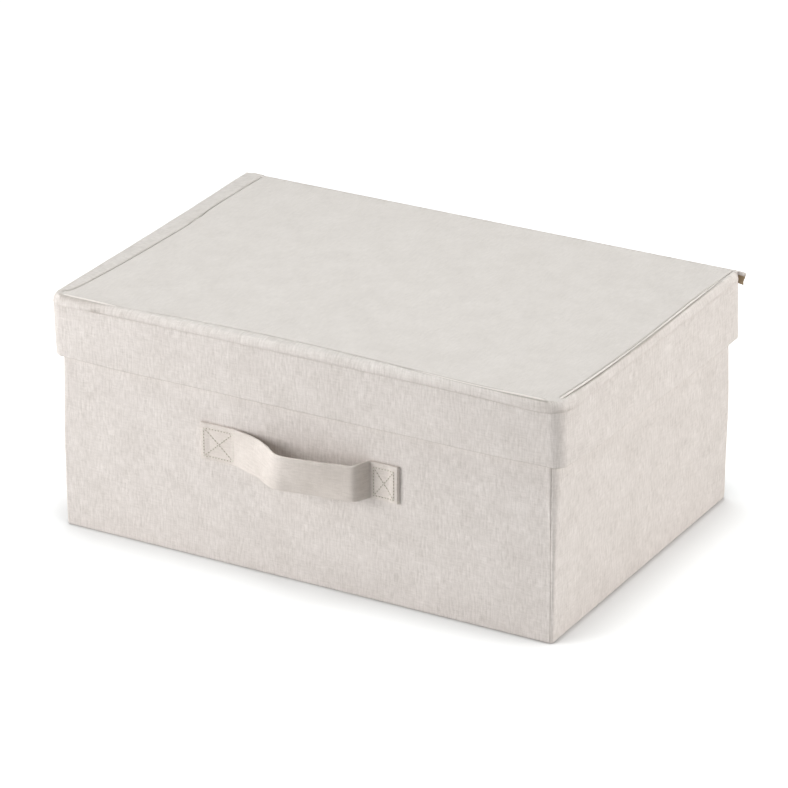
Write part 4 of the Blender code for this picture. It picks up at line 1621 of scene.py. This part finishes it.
def patch_rows(box, left, right):
    """The rows of a sewn end: a box of stitches and both of its diagonals."""
    margin, lift = box.strap.margin, box.strap.lift
    start, end = STRAP_LEFT + box.strap.shift, STRAP_RIGHT + box.strap.shift

    def face(x):
        swollen = box.strap.end * (1 - smooth(min(x - start, end - x), 5 * MM, 9 * MM))
        return STRAP_SEAT - box.strap.thickness - swollen - box.stitch.thick * 0.15

    low, high = STRAP_LOW + lift + margin * 0.8, STRAP_HIGH + lift - margin * 1.2
    corners = [(left, low), (right, low), (right, high), (left, high)]
    places = []
    lines = [*zip(corners, corners[1:] + corners[:1]), (corners[0], corners[2]), (corners[1], corners[3])]
    outward = (0, -1, 0)
    for first, last in lines:
        spots = [Vector(first).lerp(Vector(last), step / 12) for step in range(13)]
        places += stitch_row([((x, face(x), z), outward) for x, z in spots], box.stitch.pitch)
    return places


def build_stitching(box):
    model = model_stitch(box.stitch)
    sunk = box.stitch.thick * 0.15
    margin, patch = box.strap.margin, box.strap.patch
    start, end = STRAP_LEFT + box.strap.shift, STRAP_RIGHT + box.strap.shift
    left = patch_rows(box, start + margin, start + patch)
    right = patch_rows(box, end - patch + margin + 4.5 * MM, end - margin)
    obj = sew("strap_left_stitches", model, left, "box")
    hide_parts("handle_left_stitching")
    obj = sew("strap_right_stitches", model, right, "box")
    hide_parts("handle_right_stitching")
    rim = box.rim
    track = body_track(box.body, RIM_TOP)
    z = RIM_TOP - rim.drop + rim.stitch_line
    places = []
    for out, way in ((rim.proud, 1), (-WALL - rim.proud, -1)):
        line = []
        for run in graded(0, track.total, track.starts, 1 * MM, 6 * MM, 8 * MM):
            point, normal = track.at(run, out + way * sunk)
            line.append(((*point, z), (*(normal * way), 0)))
        places += stitch_row(line, box.stitch.pitch * 1.1)
    sew("rim_stitches", model, places, "box")
    hinge = box.hinge
    low = FLAP_LOW.z - hinge.hem_drop + 1.6 * MM
    y = BODY_REAR + 0.1 * MM + hinge.cloth + sunk
    line = [((hinge.half_width, y, low), (0, 1, 0)), ((-hinge.half_width, y, low), (0, 1, 0))]
    sew("hinge_stitches", model, stitch_row(line, box.stitch.pitch * 1.1), "box")
    lid = box.lid
    track = lid_track(lid)
    z = SKIRT_BOTTOM + lid.hem - 1.3 * MM
    line = []
    for run in lid_runs(track):
        point, normal = track.at(run, -SKIRT - sunk)
        if abs(point.y - LID_REAR) > 4 * MM:
            line.append(((leaned(lid, point, z), point.y, z), (-normal.x, -normal.y, 0)))
    sew("hem_stitches", model, stitch_row(line, box.stitch.pitch * 1.2), "lid")
    bpy.data.objects.remove(model)


# Boards and stage


def build_left_skirt_board(box):
    """The left skirt's board leans and bows with its cloth, so it takes the place of the upright one."""
    low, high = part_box("skirt_left_board")
    deselect()
    bpy.ops.mesh.primitive_cube_add(size=1, location=(low + high) / 2, scale=high - low)
    obj = bpy.context.object
    obj.name = "left_skirt_board"
    bpy.ops.object.transform_apply(location=True, rotation=False, scale=True)
    bpy.ops.object.mode_set(mode="EDIT")
    bpy.ops.mesh.select_mode(type="EDGE")
    bpy.ops.mesh.select_all(action="SELECT")
    bpy.ops.mesh.bevel(offset=0.25 * MM, segments=2)
    cage = bmesh.from_edit_mesh(obj.data)
    for edge in cage.edges:
        edge.select_set((edge.verts[0].co - edge.verts[1].co).y ** 2 > (high.y - low.y) ** 2 / 4)
    cage.select_flush_mode()
    bmesh.update_edit_mesh(obj.data)
    bpy.ops.mesh.subdivide(number_cuts=16)
    cage = bmesh.from_edit_mesh(obj.data)
    for vert in cage.verts:
        vert.co.x += leaned(box.lid, Vector((-LID_SIDE, vert.co.y)), vert.co.z) + LID_SIDE
    bmesh.update_edit_mesh(obj.data)
    bpy.ops.object.mode_set(mode="OBJECT")
    obj.data.materials.append(material_for("grey_board"))
    bpy.ops.object.shade_smooth_by_angle(angle=SMOOTH_ANGLE)
    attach(obj, "lid")
    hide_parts("skirt_left_board")


def build_boards(box):
    build_left_skirt_board(box)
    board = material_for("grey_board")
    for name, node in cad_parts.items():
        if name.endswith("_board") or name.endswith("_core"):
            node.data.materials.clear()
            node.data.materials.append(board)


def seen_share(nodes):
    """One for what the camera sees, also in glossy and clear surfaces, and nought for other light."""
    path = nodes.add("ShaderNodeLightPath").outputs
    seen = nodes.math("MAXIMUM", path["Is Camera Ray"], path["Is Glossy Ray"])
    return nodes.math("MAXIMUM", seen, path["Is Transmission Ray"])


def floor_material(looks):
    """A pale matt floor. To the camera it is lifted to white, and keeps the shadow that lies on it."""
    material, nodes, shader = new_material("pale_floor")
    grain = nodes.noise(nodes.add("ShaderNodeTexCoord").outputs["Object"], 40.0, 3.0)
    dim, pale = looks.floor * 0.985, looks.floor
    tone = nodes.between(grain, (dim, dim, dim, 1), (pale, pale, pale, 1))
    nodes.feed(shader, Base_Color=tone, Roughness=1.0, Specular_IOR_Level=0.0)
    near, touch = [
        nodes.feed(nodes.add("ShaderNodeAmbientOcclusion"), Distance=distance).outputs["AO"]
        for distance in (0.085, 0.006)
    ]
    # Close to the box the camera-only lift falls away by ambient occlusion, which paints a contact shadow on
    # the floor there
    lift = nodes.math("MULTIPLY", seen_share(nodes), nodes.mapped(near, 0.5, 1.0, 0.16, 0.66))
    strength = nodes.math("MULTIPLY", lift, nodes.mapped(touch, 0.45, 0.8))
    nodes.feed(shader, Emission_Color=(1, 1, 1, 1), Emission_Strength=strength)
    return material


def white_world(sky):
    """Even light from all round, which the camera, glossy and clear surfaces see as white."""
    world = bpy.data.worlds.new("studio")
    bpy.context.scene.world = world
    world.use_nodes = True
    nodes = Nodes(world.node_tree)
    back = world.node_tree.nodes["Background"]
    nodes.feed(back, Color=(1, 1, 1, 1), Strength=nodes.between(seen_share(nodes), sky, 1.0, "FLOAT"))


def add_lamp(name, power, azimuth, elevation, distance, size, tone):
    """A soft square lamp aimed at the box."""
    turn, rise = math.radians(azimuth), math.radians(elevation)
    way = Vector((math.sin(turn) * math.cos(rise), -math.cos(turn) * math.cos(rise), math.sin(rise)))
    data = bpy.data.lights.new(name, "AREA")
    data.size = size
    data.energy = power
    data.color = tone
    lamp = add_object(name, data)
    target = Vector((0, 0, LID_TOP / 2))
    lamp.location = target + way * distance
    lamp.rotation_euler = way.to_track_quat("Z", "Y").to_euler()


def build_stage(box):
    looks = box.stage
    deselect()
    bpy.ops.mesh.primitive_plane_add(size=14)
    floor = bpy.context.object
    floor.name = "floor"
    bpy.ops.object.mode_set(mode="EDIT")
    bpy.ops.mesh.subdivide(number_cuts=6)
    bpy.ops.object.mode_set(mode="OBJECT")
    floor.data.materials.append(floor_material(looks))
    white_world(looks.sky)
    add_lamp("key_lamp", looks.key, *KEY_LAMP)
    add_lamp("side_lamp", looks.side, *SIDE_LAMP)
    add_lamp("top_lamp", looks.top, *TOP_LAMP)
    data = bpy.data.cameras.new("camera")
    data.sensor_width = 36
    data.lens = looks.lens
    data.clip_end = 100
    camera = add_object("camera", data)
    back = Vector(CAMERA_BACK).normalized()
    up = back.cross(Vector(CAMERA_RIGHT)).normalized()
    right = up.cross(back)
    turned = Matrix((right, up, back)).transposed().to_4x4()
    camera.matrix_world = Matrix.Translation(Vector(looks.camera)) @ turned
    scene = bpy.context.scene
    scene.camera = camera
    scene.view_settings.view_transform = "Standard"


# Operators


class BuildOperator:
    """What the operators below share: each one builds its pieces from the scene's settings."""

    bl_options = {"REGISTER", "UNDO"}

    def execute(self, context):
        for build in self.steps:
            build(context.scene.storage_box)
        return {"FINISHED"}


class STORAGEBOX_OT_body_cloth(BuildOperator, bpy.types.Operator):
    """Wrap the walls in linen, turned under the base, and close the base"""

    bl_idname = "storage_box.body_cloth"
    bl_label = "Body cloth"
    steps = (build_body_cloth, build_base_cloth)


class STORAGEBOX_OT_rim_binding(BuildOperator, bpy.types.Operator):
    """Bind the walls' rim"""

    bl_idname = "storage_box.rim_binding"
    bl_label = "Rim binding"
    steps = (build_rim_binding,)


class STORAGEBOX_OT_lining(BuildOperator, bpy.types.Operator):
    """Line the walls and the base"""

    bl_idname = "storage_box.lining"
    bl_label = "Inner lining"
    steps = (build_inner_lining,)


class STORAGEBOX_OT_floor_board(BuildOperator, bpy.types.Operator):
    """Cover the loose floor board"""

    bl_idname = "storage_box.floor_board"
    bl_label = "Floor board cloth"
    steps = (build_floor_board_cloth,)


class STORAGEBOX_OT_skirt(BuildOperator, bpy.types.Operator):
    """Cover the lid's skirt and hem it"""

    bl_idname = "storage_box.skirt"
    bl_label = "Skirt cloth"
    steps = (build_skirt_cloth,)


class STORAGEBOX_OT_lid_lining(BuildOperator, bpy.types.Operator):
    """Line the lid and its skirt"""

    bl_idname = "storage_box.lid_lining"
    bl_label = "Lid lining"
    steps = (build_skirt_lining,)


class STORAGEBOX_OT_lid_top(BuildOperator, bpy.types.Operator):
    """Cover the lid's top"""

    bl_idname = "storage_box.lid_top"
    bl_label = "Lid top"
    steps = (build_lid_top,)


class STORAGEBOX_OT_rolled_edge(BuildOperator, bpy.types.Operator):
    """Fold the strip of the lid's edge and lay the piping in its seam"""

    bl_idname = "storage_box.rolled_edge"
    bl_label = "Rolled edge"
    steps = (build_rolled_edge, build_seam_piping)


class STORAGEBOX_OT_hinge(BuildOperator, bpy.types.Operator):
    """Join the lid to the back wall with cloth"""

    bl_idname = "storage_box.hinge"
    bl_label = "Hinge cloth"
    steps = (build_hinge_cloth,)


class STORAGEBOX_OT_strap(BuildOperator, bpy.types.Operator):
    """Make the strap handle"""

    bl_idname = "storage_box.strap"
    bl_label = "Strap"
    steps = (build_strap,)


class STORAGEBOX_OT_stitching(BuildOperator, bpy.types.Operator):
    """Sew the strap's ends, the rim, the hinge and the hem"""

    bl_idname = "storage_box.stitching"
    bl_label = "Stitching"
    steps = (build_stitching,)


class STORAGEBOX_OT_boards(BuildOperator, bpy.types.Operator):
    """Give the stiffening boards their finish"""

    bl_idname = "storage_box.boards"
    bl_label = "Boards"
    steps = (build_boards,)


class STORAGEBOX_OT_stage(BuildOperator, bpy.types.Operator):
    """Set the floor, the light and the camera"""

    bl_idname = "storage_box.stage"
    bl_label = "Stage"
    steps = (build_stage,)


GROUPS = (
    BodySizes,
    RimSizes,
    LiningSizes,
    FloorBoardSizes,
    LidSizes,
    SeamSizes,
    HingeSizes,
    StrapSizes,
    StitchSizes,
    ClothLooks,
    StageLooks,
    StorageBox,
)
OPERATORS = (
    STORAGEBOX_OT_body_cloth,
    STORAGEBOX_OT_rim_binding,
    STORAGEBOX_OT_lining,
    STORAGEBOX_OT_floor_board,
    STORAGEBOX_OT_skirt,
    STORAGEBOX_OT_lid_lining,
    STORAGEBOX_OT_lid_top,
    STORAGEBOX_OT_rolled_edge,
    STORAGEBOX_OT_hinge,
    STORAGEBOX_OT_strap,
    STORAGEBOX_OT_stitching,
    STORAGEBOX_OT_boards,
    STORAGEBOX_OT_stage,
)


class STORAGEBOX_PT_panel(bpy.types.Panel):
    """Lists the steps that dress the box"""

    bl_idname = "STORAGEBOX_PT_panel"
    bl_label = "Storage Box"
    bl_space_type = "VIEW_3D"
    bl_region_type = "UI"
    bl_category = "Storage Box"

    def draw(self, context):
        for operator in OPERATORS:
            self.layout.operator(operator.bl_idname)


def register():
    for item in (*GROUPS, *OPERATORS, STORAGEBOX_PT_panel):
        bpy.utils.register_class(item)
    bpy.types.Scene.storage_box = PointerProperty(type=StorageBox)


def unregister():
    del bpy.types.Scene.storage_box
    for item in reversed((*GROUPS, *OPERATORS, STORAGEBOX_PT_panel)):
        bpy.utils.unregister_class(item)


def main():
    register()
    for operator in OPERATORS:
        group, name = operator.bl_idname.split(".")
        getattr(getattr(bpy.ops, group), name)()


if __name__ == "__main__":
    main()
